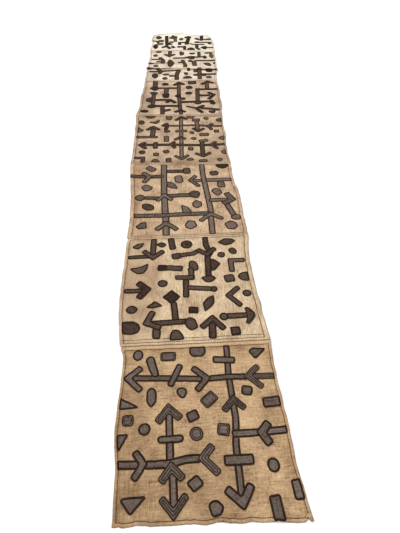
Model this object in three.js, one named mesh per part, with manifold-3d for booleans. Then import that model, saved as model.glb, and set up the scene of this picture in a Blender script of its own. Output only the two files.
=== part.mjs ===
// A long wrapper of raffia cloth, laid out on a flat floor: seven plain-woven panels sewn end to end,
// each with a folded hem on its four sides, and dark raffia patches laid on top.
// Places on the cloth are given in millimetres across it (to the right) and along it (from the near end).

import * as THREE from "three";
import Module from "manifold-3d";
import { mergeVertices } from "three/addons/utils/BufferGeometryUtils.js";

const wasm = await Module();
wasm.setup();

// Driving sizes

const CLOTH_THICKNESS = 1.2;
const HEM_THICKNESS = 2.4;
const HEM_WIDTH = 14;
const HEM_STEP = 3;
const PATCH_THICKNESS = 1;
const GAP = 0.3;
const COLUMNS = 10;
const ROW_SPACING = 68;

// The middle of the cloth's box, which is the part's origin.
const MIDDLE = { across: -32, along: 2388 };

const GROUND = { roughness: 0.9, metalness: 0 };
const DARK = { color: "#554b45", roughness: 0.95, metalness: 0 };

// The joins between panels, from the near end to the far end. A row gives where the join lies along the
// cloth at evenly spaced places from its left side to its right side.
const JOINS = [
  { name: "near end", along: [10, 4, -8] },
  { name: "a to b", along: [705, 705, 705] },
  { name: "b to c", along: [1412, 1412, 1412] },
  { name: "c to d", along: [2172, 2152, 2143] },
  { name: "d to e", along: [2861, 2840, 2824] },
  { name: "e to f", along: [3520, 3500, 3512] },
  { name: "f to g", along: [4263, 4250, 4200] },
  { name: "far end", along: [4660, 4760, 4785, 4765, 4722, 4692, 4620] },
];

// One row for each panel: where its left and right sides lie across, at five even places along it.
const PANELS = [
  { name: "a", color: "#be9a6e", left: [-344, -344, -359, -350, -346], right: [346, 333, 325, 321, 317] },
  { name: "b", color: "#cdb48c", left: [-368, -385, -389, -383, -382], right: [318, 307, 297, 295, 312] },
  { name: "c", color: "#d2b186", left: [-382, -378, -385, -400, -410], right: [312, 305, 308, 285, 288] },
  { name: "d", color: "#c6a580", left: [-410, -404, -403, -403, -410], right: [288, 277, 285, 284, 289] },
  { name: "e", color: "#cba98a", left: [-410, -388, -385, -369, -366], right: [289, 303, 301, 307, 297] },
  { name: "f", color: "#e0cba8", left: [-366, -358, -348, -338, -340], right: [297, 318, 327, 330, 332] },
  { name: "g", color: "#efe3c5", left: [-340, -334, -325, -335, -300], right: [332, 340, 342, 336, 285] },
];

// Ridges and soft creases, each from one place to another, with the half width and height of its crest.
// One that crosses a whole panel also gets grid rows along its crest and feet.
const FOLDS = [
  { crosses: "f", from: [-352, 3800], to: [322, 3745], width: 26, height: 15 },
  { from: [-345, 3930], to: [-150, 3945], width: 30, height: 9 },
  { crosses: "c", from: [-378, 1548], to: [308, 1540], width: 24, height: 4 },
  { crosses: "e", from: [-385, 3205], to: [302, 3195], width: 30, height: 5 },
  { crosses: "d", from: [-403, 2556], to: [285, 2545], width: 26, height: 4 },
  { from: [-403, 2672], to: [120, 2668], width: 30, height: 4 },
  { from: [-120, 350], to: [-62, 262], width: 34, height: 4 },
  { from: [-330, 4655], to: [-270, 4735], width: 46, height: 16 },
  { from: [300, 4600], to: [250, 4680], width: 42, height: 10 },
];

// Broad swells of the cloth: the length of one wave across and along, where it starts, and its height.
const SWELLS = [
  { across: 620, along: 910, phase: 0.4, height: 1.5 },
  { across: -480, along: 540, phase: 2.1, height: 1.2 },
  { across: 350, along: -730, phase: 4.4, height: 0.9 },
];
// What the cloth's weight takes off every swell and crease, so that most of it lies flat.
const SETTLE = 1.7;
// The side hems rise in waves where the cloth is a little long there.
const SIDE_WAVE = { length: 235, height: 5, reach: 42 };

// Curves of the outline

// A smooth curve through evenly spaced values, read at a share of its length.
function through(values, share) {
  const last = values.length - 1;
  const place = THREE.MathUtils.clamp(share, 0, 1) * last;
  const at = Math.min(Math.floor(place), last - 1);
  const f = place - at;
  const before = values[Math.max(at - 1, 0)];
  const here = values[at];
  const next = values[at + 1];
  const after = values[Math.min(at + 2, last)];
  const slope = next - before;
  const bend = 2 * before - 5 * here + 4 * next - after;
  const twist = 3 * here - before - 3 * next + after;
  return here + 0.5 * f * (slope + f * (bend + f * twist));
}

// The place on a panel at shares of its width and of its length, inside half of the gap to its neighbours.
function placeOn(panel, acrossShare, alongShare) {
  const index = PANELS.indexOf(panel);
  const near = through(JOINS[index].along, acrossShare) + GAP / 2;
  const far = through(JOINS[index + 1].along, acrossShare) - GAP / 2;
  const left = through(panel.left, alongShare);
  const right = through(panel.right, alongShare);
  return new THREE.Vector2(
    THREE.MathUtils.lerp(left, right, acrossShare),
    THREE.MathUtils.lerp(near, far, alongShare),
  );
}

// Height of the underside

function foldLift(fold, place) {
  const from = new THREE.Vector2(...fold.from);
  const run = new THREE.Vector2(...fold.to).sub(from);
  const share = THREE.MathUtils.clamp(place.clone().sub(from).dot(run) / run.lengthSq(), 0, 1);
  const away = place.distanceTo(from.addScaledVector(run, share)) / fold.width;
  return fold.height * Math.exp(-away * away);
}

function swellLift(swell, place) {
  const turns = place.x / swell.across + place.y / swell.along;
  return swell.height * Math.sin(2 * Math.PI * turns + swell.phase);
}

// How high the underside lies over the floor. It is 0 wherever the cloth rests flat.
function lift(panel, place, acrossShare) {
  const width = panel.right[2] - panel.left[2];
  const fromSide = Math.min(acrossShare, 1 - acrossShare) * width;
  const phase = acrossShare < 0.5 ? 0 : 2;
  const wave = Math.max(0, Math.sin((2 * Math.PI * place.y) / SIDE_WAVE.length + phase));
  let height = SIDE_WAVE.height * wave * Math.exp(-fromSide / SIDE_WAVE.reach) - SETTLE;
  for (const fold of FOLDS) height += foldLift(fold, place);
  for (const swell of SWELLS) height += swellLift(swell, place);
  return Math.max(0, height);
}

// Grids of a panel

// Shares of a panel's width for its columns: the hem, the step down from it, and even columns between.
function columnsOf(panel, inner) {
  const width = panel.right[2] - panel.left[2];
  const hem = HEM_WIDTH / width;
  const step = (HEM_WIDTH + HEM_STEP) / width;
  const shares = [];
  for (let i = 0; i <= COLUMNS; i++) shares.push(THREE.MathUtils.lerp(step, 1 - step, i / COLUMNS));
  return inner ? shares : [0, hem, ...shares, 1 - hem, 1];
}

// Rows of a panel. A row has a share of the panel's length at the left side and one at the right side.
function rowsOf(panel, inner) {
  const index = PANELS.indexOf(panel);
  const ends = [0, 1].map((side) => ({
    near: through(JOINS[index].along, side),
    far: through(JOINS[index + 1].along, side),
  }));
  const length = ends[0].far - ends[0].near;
  const hem = HEM_WIDTH / length;
  const step = (HEM_WIDTH + HEM_STEP) / length;
  const shareOf = (side, along) => (along - ends[side].near) / (ends[side].far - ends[side].near);
  const crossing = FOLDS.filter((fold) => fold.crosses === panel.name);
  const count = Math.round(length / ROW_SPACING);
  let rows = [];
  for (let i = 0; i <= count; i++) {
    const share = THREE.MathUtils.lerp(step, 1 - step, i / count);
    const along = ends.map((end) => THREE.MathUtils.lerp(end.near, end.far, share));
    const near = (fold) => {
      const away = Math.min(Math.abs(along[0] - fold.from[1]), Math.abs(along[1] - fold.to[1]));
      return away < 2 * fold.width + ROW_SPACING / 4;
    };
    const isEnd = i === 0 || i === count;
    if (isEnd || !crossing.some(near)) rows.push({ left: share, right: share });
  }
  for (const fold of crossing) {
    for (const away of [-2, -1, 0, 1, 2]) {
      const offset = away * fold.width;
      rows.push({ left: shareOf(0, fold.from[1] + offset), right: shareOf(1, fold.to[1] + offset) });
    }
  }
  rows.sort((one, other) => one.left - other.left);
  if (inner) return rows;
  const even = (share) => ({ left: share, right: share });
  return [even(0), even(hem), ...rows, even(1 - hem), even(1)];
}

// Thickness of a panel at a column and a row of its grid: the two outermost of each are hem.
function thicknessAt(column, row, columns, rows) {
  const inHem = column < 2 || row < 2 || column > columns.length - 3 || row > rows.length - 3;
  return inHem ? HEM_THICKNESS : CLOTH_THICKNESS;
}

// A closed sheet over a grid of columns and rows. The heights of its underside and top are read at each
// crossing, and both faces are split along the same diagonals, so that sheets laid on it keep their gap.
function closedSheet(columnCount, rowCount, crossingAt) {
  const top = new THREE.PlaneGeometry(1, 1, columnCount - 1, rowCount - 1);
  const grid = top.getAttribute("position");
  const count = grid.count;
  const points = new Float32Array(2 * count * 3);
  for (let i = 0; i < count; i++) {
    const column = Math.round((grid.getX(i) + 0.5) * (columnCount - 1));
    const row = Math.round((grid.getY(i) + 0.5) * (rowCount - 1));
    const crossing = crossingAt(column, row);
    points.set([crossing.x, crossing.y, crossing.top], 3 * i);
    points.set([crossing.x, crossing.y, crossing.under], 3 * (count + i));
  }
  const faces = [...top.index.array];
  for (let i = 0; i < top.index.count; i += 3) {
    const [a, b, c] = top.index.array.slice(i, i + 3);
    faces.push(count + a, count + c, count + b);
  }
  // The plane's rows run down from its far side, so the near row is its last one.
  const numberAt = (column, row) => (rowCount - 1 - row) * columnCount + column;
  const rim = [];
  for (let i = 0; i < columnCount - 1; i++) rim.push(numberAt(i, 0));
  for (let i = 0; i < rowCount - 1; i++) rim.push(numberAt(columnCount - 1, i));
  for (let i = columnCount - 1; i > 0; i--) rim.push(numberAt(i, rowCount - 1));
  for (let i = rowCount - 1; i > 0; i--) rim.push(numberAt(0, i));
  rim.forEach((a, i) => {
    const b = rim[(i + 1) % rim.length];
    faces.push(count + a, count + b, b, count + a, b, a);
  });
  const sheet = new THREE.BufferGeometry();
  sheet.setAttribute("position", new THREE.BufferAttribute(points, 3));
  sheet.setIndex(faces);
  return sheet;
}

// The panel itself, or with heights over its top face, a slab that lies above it inside the hem.
function sheetOn(panel, heights) {
  const inner = Boolean(heights);
  const columns = columnsOf(panel, inner);
  const rows = rowsOf(panel, inner);
  return closedSheet(columns.length, rows.length, (column, row) => {
    const acrossShare = columns[column];
    const alongShare = THREE.MathUtils.lerp(rows[row].left, rows[row].right, acrossShare);
    const place = placeOn(panel, acrossShare, alongShare);
    const under = lift(panel, place, acrossShare);
    const face = under + (inner ? CLOTH_THICKNESS : thicknessAt(column, row, columns, rows));
    return {
      x: place.x - MIDDLE.across,
      y: place.y - MIDDLE.along,
      under: inner ? face + heights.from : under,
      top: inner ? face + heights.to : face,
    };
  });
}

// Solids for cutting and joining

function solidOf(geometry) {
  const merged = mergeVertices(geometry, 1e-4);
  const vertProperties = new Float32Array(merged.getAttribute("position").array);
  const triVerts = new Uint32Array(merged.index.array);
  return new wasm.Manifold(new wasm.Mesh({ numProp: 3, vertProperties, triVerts }));
}

function geometryOf(solid) {
  const mesh = solid.getMesh();
  const geometry = new THREE.BufferGeometry();
  geometry.setAttribute("position", new THREE.BufferAttribute(mesh.vertProperties, 3));
  geometry.setIndex(new THREE.BufferAttribute(mesh.triVerts, 1));
  return geometry;
}

// Outlines of patches. Each returns a THREE.Shape in the part's frame.

function shapeThrough(points) {
  return new THREE.Shape(points.map(([x, y]) => new THREE.Vector2(x - MIDDLE.across, y - MIDDLE.along)));
}

// A strip of even width along a bent line, with mitred bends.
function strip(width, ...points) {
  const line = points.map(([x, y]) => new THREE.Vector2(x, y));
  const sides = [[], []];
  line.forEach((point, i) => {
    const before = line[Math.max(i - 1, 0)];
    const after = line[Math.min(i + 1, line.length - 1)];
    const into = point.clone().sub(before).normalize();
    const out = after.clone().sub(point).normalize();
    if (i === 0) into.copy(out);
    if (i === line.length - 1) out.copy(into);
    const normal = new THREE.Vector2(-into.y - out.y, into.x + out.x).normalize();
    const reach = width / 2 / Math.max(0.4, normal.x * -out.y + normal.y * out.x);
    sides[0].push([point.x + normal.x * reach, point.y + normal.y * reach]);
    sides[1].unshift([point.x - normal.x * reach, point.y - normal.y * reach]);
  });
  return shapeThrough([...sides[1], ...sides[0]].reverse());
}

// A chevron head: a strip that turns back at its tip.
function head(width, tip, oneArm, otherArm) {
  return strip(width, oneArm, tip, otherArm);
}

function disc(x, y, width, height, turn = 0) {
  const shape = new THREE.Shape();
  const angle = THREE.MathUtils.degToRad(turn);
  shape.absellipse(x - MIDDLE.across, y - MIDDLE.along, width / 2, height / 2, 0, 2 * Math.PI, false, angle);
  return shape;
}

function block(x, y, width, height, turn = 0) {
  const middle = new THREE.Vector2(x, y);
  const angle = THREE.MathUtils.degToRad(turn);
  const corners = [
    [-0.5, -0.5],
    [0.5, -0.5],
    [0.5, 0.5],
    [-0.5, 0.5],
  ];
  const turned = corners.map(([a, b]) =>
    new THREE.Vector2(a * width, b * height).rotateAround(new THREE.Vector2(), angle).add(middle).toArray(),
  );
  return shapeThrough(turned);
}

function patch(...points) {
  return shapeThrough(points);
}

// The patches that are solids: one row for each figure, with the strips and cut pieces that make it up.
const FIGURES = [
  {
    name: "a_cross_arrows",
    pieces: [
      strip(27, [115, 700], [110, 535], [115, 455], [120, 350], [110, 255], [110, 70]),
      block(97, 615, 93, 30, -5),
      strip(24, [-310, 548], [-150, 540], [-50, 534], [45, 531], [175, 531], [320, 528]),
      head(22, [-318, 550], [-266, 592], [-264, 494]),
      strip(32, [-224, 627], [-201, 560]),
      strip(26, [-95, 599], [-134, 508]),
      head(23, [26, 534], [-35, 582], [-22, 480]),
      head(24, [192, 535], [241, 577], [248, 483]),
      head(24, [119, 440], [77, 388], [162, 395]),
      strip(27, [99, 295], [330, 302]),
      head(30, [205, 297], [250, 332], [241, 254]),
      block(115, 202, 109, 37),
      head(30, [117, 56], [65, 106], [151, 114]),
    ],
  },
  {
    name: "a_double_arrow",
    pieces: [
      head(24, [-148, 416], [-190, 354], [-95, 365]),
      strip(27, [-144, 410], [-140, 205], [-131, 174], [-125, 40]),
      block(-138, 287, 97, 24),
      strip(27, [-345, 205], [-264, 202], [-140, 200], [-78, 212], [-22, 213]),
      head(26, [-238, 204], [-273, 244], [-273, 155]),
      head(24, [-16, 211], [24, 256], [37, 158]),
      head(25, [-137, 194], [-174, 142], [-94, 148]),
      head(23, [-129, 34], [-170, 86], [-86, 92]),
    ],
  },
  { name: "a_kite", pieces: [patch([210, 650], [232, 665], [288, 660], [235, 612])] },
  { name: "a_top_block", pieces: [patch([-53, 690], [-53, 652], [-38, 638], [4, 638], [18, 652], [18, 690])] },
  { name: "a_bullet", pieces: [patch([-232, 440], [-214, 418], [-196, 440], [-196, 482], [-214, 496], [-232, 482])] },
  { name: "a_turned_block", pieces: [block(20, 438, 65, 48, 40)] },
  { name: "a_turned_square", pieces: [block(-49, 375, 44, 37, 23)] },
  { name: "a_disc", pieces: [disc(-38, 302, 52, 54)] },
  { name: "a_side_block", pieces: [block(274, 415, 72, 40, 5)] },
  { name: "a_low_turned_square", pieces: [block(-50, 129, 47, 40, 36)] },
  { name: "a_low_triangle", pieces: [patch([-314, 91], [-226, 94], [-278, 42])] },
  { name: "a_tall_block", pieces: [block(229, 44, 34, 74, 6)] },
  { name: "a_hexagon", pieces: [disc(19, 47, 50, 50)] },
  {
    name: "b_hanging_arrow",
    pieces: [
      strip(32, [-228, 1405], [-233, 1250]),
      head(28, [-233, 1258], [-281, 1308], [-176, 1300]),
      strip(27, [-370, 1260], [-240, 1263]),
    ],
  },
  {
    name: "b_tall_figure",
    pieces: [
      strip(32, [61, 1405], [63, 1336], [83, 1274], [65, 1249], [63, 1085]),
      head(30, [68, 1252], [12, 1300], [111, 1309]),
      strip(27, [-110, 1262], [30, 1297]),
      block(62, 1085, 78, 40),
      patch([66, 1224], [66, 1155], [116, 1162], [130, 1190], [116, 1217]),
    ],
  },
  {
    name: "b_left_arrow",
    pieces: [strip(28, [-380, 1026], [-265, 1026]), head(34, [-252, 1032], [-300, 1072], [-292, 985])],
  },
  {
    name: "b_stepped_figure",
    pieces: [
      block(-15, 1190, 43, 62),
      strip(31, [-28, 1175], [-25, 1082]),
      strip(30, [-110, 1104], [-16, 1100]),
      strip(31, [-56, 1104], [-58, 970]),
      strip(31, [-47, 1032], [99, 1019]),
    ],
  },
  {
    name: "b_diamond_bar",
    pieces: [
      block(-131, 976, 62, 62, 45),
      strip(31, [-121, 940], [-112, 830]),
      strip(31, [-264, 821], [-40, 828]),
      head(31, [-250, 820], [-221, 890], [-183, 797]),
      strip(37, [-202, 820], [-202, 738]),
    ],
  },
  {
    name: "b_barbell",
    pieces: [disc(119, 845, 42, 42), strip(31, [119, 847], [245, 849]), head(26, [250, 845], [235, 892], [231, 800])],
  },
  {
    name: "b_up_arrow",
    pieces: [strip(34, [65, 842], [62, 730]), head(30, [64, 846], [10, 787], [113, 776])],
  },
  { name: "b_bar", pieces: [strip(37, [-202, 1178], [-71, 1166])] },
  { name: "b_right_leaf", pieces: [patch([130, 1355], [172, 1388], [228, 1370], [190, 1335])] },
  { name: "b_angle", pieces: [strip(30, [266, 1212], [189, 1212], [189, 1131])] },
  {
    name: "c_lattice",
    pieces: [
      strip(40, [-178, 2165], [-177, 1972], [-174, 1823], [-168, 1662], [-160, 1430]),
      strip(36, [84, 2165], [84, 2015], [99, 1817], [111, 1662], [108, 1430]),
      strip(34, [-405, 2025], [-326, 2009], [-283, 2003], [-180, 2006]),
      head(31, [-272, 2010], [-320, 2050], [-311, 1945]),
      strip(38, [-170, 2062], [-15, 2060]),
      strip(31, [10, 1947], [90, 1947]),
      head(28, [0, 1952], [37, 1998], [53, 1888]),
      strip(37, [90, 1947], [300, 1950]),
      block(198, 1901, 45, 68),
      strip(34, [100, 1736], [262, 1735]),
      head(38, [262, 1734], [223, 1794], [197, 1702]),
      strip(37, [213, 1710], [244, 1565]),
      disc(-326, 1781, 61, 61),
      strip(36, [-315, 1777], [-170, 1771]),
      head(27, [-171, 1810], [-220, 1748], [-125, 1751]),
      strip(40, [-170, 1792], [-10, 1795]),
      block(18, 1797, 62, 62),
      strip(36, [-390, 1606], [-177, 1603], [-53, 1609], [110, 1609]),
      head(28, [108, 1606], [44, 1542], [175, 1555]),
      head(31, [-162, 1536], [-217, 1477], [-98, 1474]),
    ],
  },
  { name: "c_lozenge", pieces: [patch([-303, 2105], [-270, 2132], [-227, 2089], [-257, 2059])] },
  { name: "c_square", pieces: [block(-78, 1968, 53, 75, -4)] },
  { name: "c_oval", pieces: [disc(-286, 1884, 74, 62)] },
  { name: "c_half_leaf", pieces: [patch([-150, 1940], [-118, 1928], [-84, 1880], [-88, 1862], [-134, 1885])] },
  { name: "c_half_moon", pieces: [patch([178, 2130], [270, 2130], [258, 2096], [224, 2078], [190, 2092])] },
  { name: "c_right_lozenge", pieces: [patch([128, 1836], [161, 1857], [195, 1798], [158, 1779])] },
  { name: "c_low_disc", pieces: [disc(-14, 1508, 69, 71)] },
  { name: "c_low_square", pieces: [block(223, 1495, 68, 66, 20)] },
  {
    name: "d_lattice",
    pieces: [
      strip(30, [-44, 2822], [-48, 2734], [-53, 2548], [-53, 2362], [-53, 2170]),
      strip(27, [-190, 2684], [-53, 2678], [89, 2666], [300, 2657]),
      head(25, [-53, 2508], [-99, 2468], [-20, 2480]),
      block(-49, 2596, 88, 27),
      strip(34, [78, 2771], [77, 2592]),
      head(27, [77, 2588], [44, 2634], [129, 2626]),
      strip(29, [-350, 2408], [-115, 2402], [96, 2384], [300, 2386]),
      head(28, [-362, 2410], [-320, 2440], [-311, 2358]),
      block(-242, 2399, 28, 88),
      strip(30, [108, 2446], [99, 2240]),
      head(26, [101, 2240], [50, 2279], [150, 2282]),
      head(25, [165, 2392], [204, 2423], [212, 2333]),
    ],
  },
  {
    name: "d_up_arrow",
    pieces: [
      head(25, [-264, 2668], [-316, 2626], [-219, 2623]),
      strip(36, [-265, 2662], [-269, 2515]),
      strip(26, [-400, 2520], [-230, 2514]),
    ],
  },
  { name: "d_top_half_moon", pieces: [patch([-330, 2842], [-252, 2838], [-262, 2818], [-290, 2808], [-318, 2820])] },
  { name: "d_top_block", pieces: [block(-142, 2800, 46, 62)] },
  { name: "d_disc", pieces: [disc(-360, 2746, 42, 58)] },
  { name: "d_tall_block", pieces: [block(-162, 2486, 34, 84)] },
  {
    name: "e_lattice",
    pieces: [
      strip(31, [-53, 3470], [-56, 3228], [-53, 3042], [-44, 2862]),
      head(33, [-54, 3466], [-97, 3410], [-5, 3424]),
      strip(40, [-268, 3490], [-270, 3340]),
      strip(31, [-310, 3355], [-60, 3355]),
      strip(40, [-165, 3355], [-170, 3175]),
      strip(36, [-273, 3250], [-283, 2990]),
      block(-300, 3138, 60, 72),
      strip(31, [-265, 3126], [-134, 3113]),
      head(30, [-126, 3116], [-166, 3080], [-91, 3063]),
      strip(30, [-270, 3020], [-50, 3011]),
      strip(34, [-199, 3015], [-196, 2875]),
      strip(37, [204, 3470], [198, 3310]),
      head(31, [207, 3472], [152, 3421], [264, 3438]),
      strip(31, [100, 3320], [300, 3315]),
      strip(37, [111, 3345], [102, 3030]),
      strip(31, [110, 3191], [250, 3198]),
      head(36, [252, 3200], [200, 3244], [199, 3114]),
      strip(34, [-55, 3073], [235, 3074]),
    ],
  },
  {
    name: "e_low_arrow",
    pieces: [
      strip(31, [6, 2999], [105, 2962], [133, 2961], [285, 2928]),
      strip(37, [151, 3003], [127, 2890]),
    ],
  },
  { name: "e_top_block", pieces: [block(70, 3456, 68, 66)] },
  { name: "e_upper_hexagon", pieces: [disc(40, 3364, 56, 53)] },
  { name: "e_oval", pieces: [disc(-348, 2927, 62, 46)] },
  {
    name: "f_down_arrow",
    pieces: [strip(31, [-128, 4236], [-138, 4092]), head(30, [-139, 4088], [-182, 4144], [-88, 4144])],
  },
  {
    name: "f_left_arrow",
    pieces: [strip(24, [-325, 4021], [-210, 4010]), head(32, [-196, 4006], [-233, 4056], [-206, 3940])],
  },
  {
    name: "f_cross_bar",
    pieces: [
      strip(34, [167, 4195], [164, 4060]),
      strip(32, [-100, 4040], [34, 4050], [238, 4064]),
      block(83, 4055, 62, 66),
      block(223, 4056, 31, 66),
    ],
  },
  { name: "f_tall_diamond", pieces: [patch([-125, 3996], [-92, 3903], [-125, 3818], [-158, 3903])] },
  {
    name: "f_left_bar",
    pieces: [strip(27, [-345, 3722], [-70, 3738]), head(36, [-216, 3728], [-257, 3776], [-234, 3678])],
  },
  {
    name: "f_crooked_strip",
    pieces: [
      strip(37, [151, 3725], [142, 3531]),
      strip(35, [151, 3700], [106, 3700], [108, 3618], [182, 3612]),
      strip(28, [150, 3624], [310, 3630]),
    ],
  },
  {
    name: "g_left_strip",
    pieces: [
      strip(34, [-171, 4689], [-165, 4390]),
      strip(31, [-214, 4335], [-165, 4391], [-134, 4310]),
      strip(46, [-171, 4425], [-100, 4420]),
    ],
  },
  {
    name: "g_cap_strip",
    pieces: [block(68, 4630, 68, 31), strip(37, [77, 4625], [46, 4422]), strip(28, [62, 4478], [-40, 4478], [-40, 4425])],
  },
  { name: "g_upper_bar", pieces: [strip(34, [220, 4655], [213, 4550]), strip(28, [150, 4562], [300, 4557])] },
  {
    name: "g_right_arrow",
    pieces: [strip(25, [330, 4312], [215, 4320]), head(28, [204, 4320], [238, 4354], [238, 4288])],
  },
];

// The assembly

const cloth = new THREE.Group();
const slabs = {};

for (const panel of PANELS) {
  const material = new THREE.MeshStandardMaterial({ color: panel.color, ...GROUND });
  const mesh = new THREE.Mesh(sheetOn(panel), material);
  mesh.name = `panel_${panel.name}`;
  cloth.add(mesh);
  slabs[panel.name] = solidOf(sheetOn(panel, { from: GAP, to: GAP + PATCH_THICKNESS }));
}

// A patch is cut upright from a thin slab that lies over its panel, inside the hem.
function cutPatch(figure) {
  const settings = { depth: 100, bevelEnabled: false, curveSegments: 6 };
  let cutter = null;
  for (const shape of figure.pieces) {
    const outline = new THREE.ExtrudeGeometry(shape, settings);
    outline.deleteAttribute("normal");
    outline.deleteAttribute("uv");
    const solid = solidOf(outline);
    cutter = cutter ? cutter.add(solid) : solid;
  }
  return geometryOf(slabs[figure.name[0]].intersect(cutter));
}

const darkRaffia = new THREE.MeshStandardMaterial(DARK);
for (const figure of FIGURES) {
  const mesh = new THREE.Mesh(cutPatch(figure), darkRaffia);
  mesh.name = `patch_${figure.name}`;
  cloth.add(mesh);
}

export default cloth;
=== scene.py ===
# %% [markdown]
# This script dresses a long raffia wrapper that lies on a floor: seven hand-woven panels sewn end to
# end, with dark raffia patches laid on them and edged in thread. The construction comes packed, as a
# frame of plain solids. Everything made here sits on those solids, in metres.

# %% Load the frame
import math
import random

import bmesh
import bpy
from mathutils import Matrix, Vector, noise


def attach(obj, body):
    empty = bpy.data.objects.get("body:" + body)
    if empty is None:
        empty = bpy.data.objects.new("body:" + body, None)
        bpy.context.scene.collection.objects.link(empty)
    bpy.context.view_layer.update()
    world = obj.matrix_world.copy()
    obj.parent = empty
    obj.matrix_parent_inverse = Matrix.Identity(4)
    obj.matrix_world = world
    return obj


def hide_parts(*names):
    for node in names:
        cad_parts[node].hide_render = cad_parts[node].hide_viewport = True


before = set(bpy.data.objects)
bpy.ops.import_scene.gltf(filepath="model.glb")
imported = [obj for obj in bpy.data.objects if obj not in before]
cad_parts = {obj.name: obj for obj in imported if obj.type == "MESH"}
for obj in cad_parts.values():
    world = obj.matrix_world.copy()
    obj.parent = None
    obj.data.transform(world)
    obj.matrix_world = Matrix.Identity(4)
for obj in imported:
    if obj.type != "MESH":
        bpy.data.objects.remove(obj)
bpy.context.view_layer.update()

# %% [markdown]
# The camera is a phone held at eye level at the near end, a little to the left of the cloth's middle,
# and tipped well down. Its height follows from the panel width: the cloth narrows evenly up the
# picture, so it lies flat, and the place where it would shrink to nothing is the horizon. What was
# measured that way is the cloth's upper face, so its thickness is added to the eye's height.

# %% Place the camera
PICTURE = (400, 533)
FOCAL_PIXELS = 400
SENSOR_MM = 36
MIDDLE = Vector((-32, 2388))
EYE = (-54, -260, 1578 + 3.3)
TIPPED_DOWN = math.radians(47.69)
TURNED_RIGHT = math.radians(3.02)

camera_data = bpy.data.cameras.new("eye_level_camera")
camera_data.sensor_width = SENSOR_MM
camera_data.lens = FOCAL_PIXELS / max(PICTURE) * SENSOR_MM
camera = bpy.data.objects.new("eye_level_camera", camera_data)
camera.location = ((EYE[0] - MIDDLE.x) / 1000, (EYE[1] - MIDDLE.y) / 1000, EYE[2] / 1000)
camera.rotation_euler = (math.pi / 2 - TIPPED_DOWN, 0, -TURNED_RIGHT)
bpy.context.scene.collection.objects.link(camera)
bpy.context.scene.camera = camera
print("lens:", round(camera_data.lens, 2), "mm at", [round(x, 3) for x in camera.location])

# %% [markdown]
# Places on the cloth are given in millimetres across it and along it, as a sewer would measure them
# from the near end. The panels were woven on narrow looms and are never quite square, so each side is
# a smooth curve through five measured places, and each join is one through three or more. A slow noise
# of two or three millimetres then moves every edge, as hand hemming does, and more at the two free
# ends. At a few corners the hem bends in more sharply, and the near edge has a notch beside its last hem.

# %% Measure the panels
JOINS = [
    [10, 4, -8],
    [705, 705, 705],
    [1412, 1412, 1412],
    [2172, 2152, 2143],
    [2861, 2840, 2824],
    [3520, 3500, 3512],
    [4263, 4250, 4200],
    [4684, 4763, 4786, 4767, 4726, 4700, 4655],
]
SIDES = {
    "a": ([-338, -341, -356, -346, -348], [345, 327, 324, 315, 317]),
    "b": ([-368, -385, -389, -383, -382], [318, 307, 297, 295, 312]),
    "c": ([-382, -378, -385, -400, -410], [312, 305, 308, 285, 288]),
    "d": ([-410, -404, -403, -403, -410], [288, 277, 285, 284, 289]),
    "e": ([-410, -388, -385, -369, -366], [289, 303, 301, 307, 297]),
    "f": ([-366, -358, -348, -338, -340], [297, 318, 327, 330, 332]),
    "g": ([-340, -334, -325, -335, -312], [332, 340, 342, 336, 300]),
}
PANELS = list(SIDES)
USUAL_WIDTH = 680
NEAR_LEFT = SIDES["a"][0][0]
NEAR_WIDTH = SIDES["a"][1][0] - NEAR_LEFT
CLOTH_THICKNESS = 1.2
HEM_WIDTH = 14
GAP = 0.3
WAVER = {"size": 58, "side": 3.2, "join": 1.8, "free_end": 6.5, "puff_size": 15, "puff_share": 0.35}
LINES_APART = 11.3
BROAD_LAYER = 3.7
PUFF_LAYER = 9.1
SIDE_LINES = (20, 30)
BENDS = [
    {"panel": "a", "side": 0, "along": 698, "by": -12, "reach": 24},
    {"panel": "b", "side": 0, "along": 700, "by": 6, "reach": 13},
    {"panel": "b", "side": 0, "along": 1412, "by": 6, "reach": 24},
    {"panel": "e", "side": 1, "along": 3512, "by": -6, "reach": 26},
]
NOTCH = {"across": 326, "half_width": 6, "deep": 11}


def through(values, share):
    """A smooth curve through evenly spaced values, read at a share of its length."""
    last = len(values) - 1
    place = min(max(share, 0), 1) * last
    at = min(int(place), last - 1)
    f = place - at
    before, here = values[max(at - 1, 0)], values[at]
    after, beyond = values[at + 1], values[min(at + 2, last)]
    slope = after - before
    bend = 2 * before - 5 * here + 4 * after - beyond
    twist = 3 * here - before - 3 * after + beyond
    return here + 0.5 * f * (slope + f * (bend + f * twist))


def waver(line, place, depth):
    """How far a hand-sewn edge strays from its even curve. Each line has its own noise."""
    broad = noise.noise(Vector((place / WAVER["size"], LINES_APART * line, BROAD_LAYER)))
    puffs = noise.noise(Vector((place / WAVER["puff_size"], LINES_APART * line, PUFF_LAYER)))
    return depth * (broad + WAVER["puff_share"] * puffs)


def notch_at(across):
    """How deep the notch in the near edge is at a place across."""
    away = (across - NOTCH["across"]) / NOTCH["half_width"]
    return NOTCH["deep"] * math.exp(-away * away)


def join_at(index, across_share):
    """Where a join, or a free end, lies along the cloth."""
    free = index in (0, len(JOINS) - 1)
    depth = WAVER["free_end"] if free else WAVER["join"]
    notch = 0 if index else notch_at(NEAR_WIDTH * across_share + NEAR_LEFT)
    return through(JOINS[index], across_share) + waver(index, USUAL_WIDTH * across_share, depth) + notch


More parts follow.
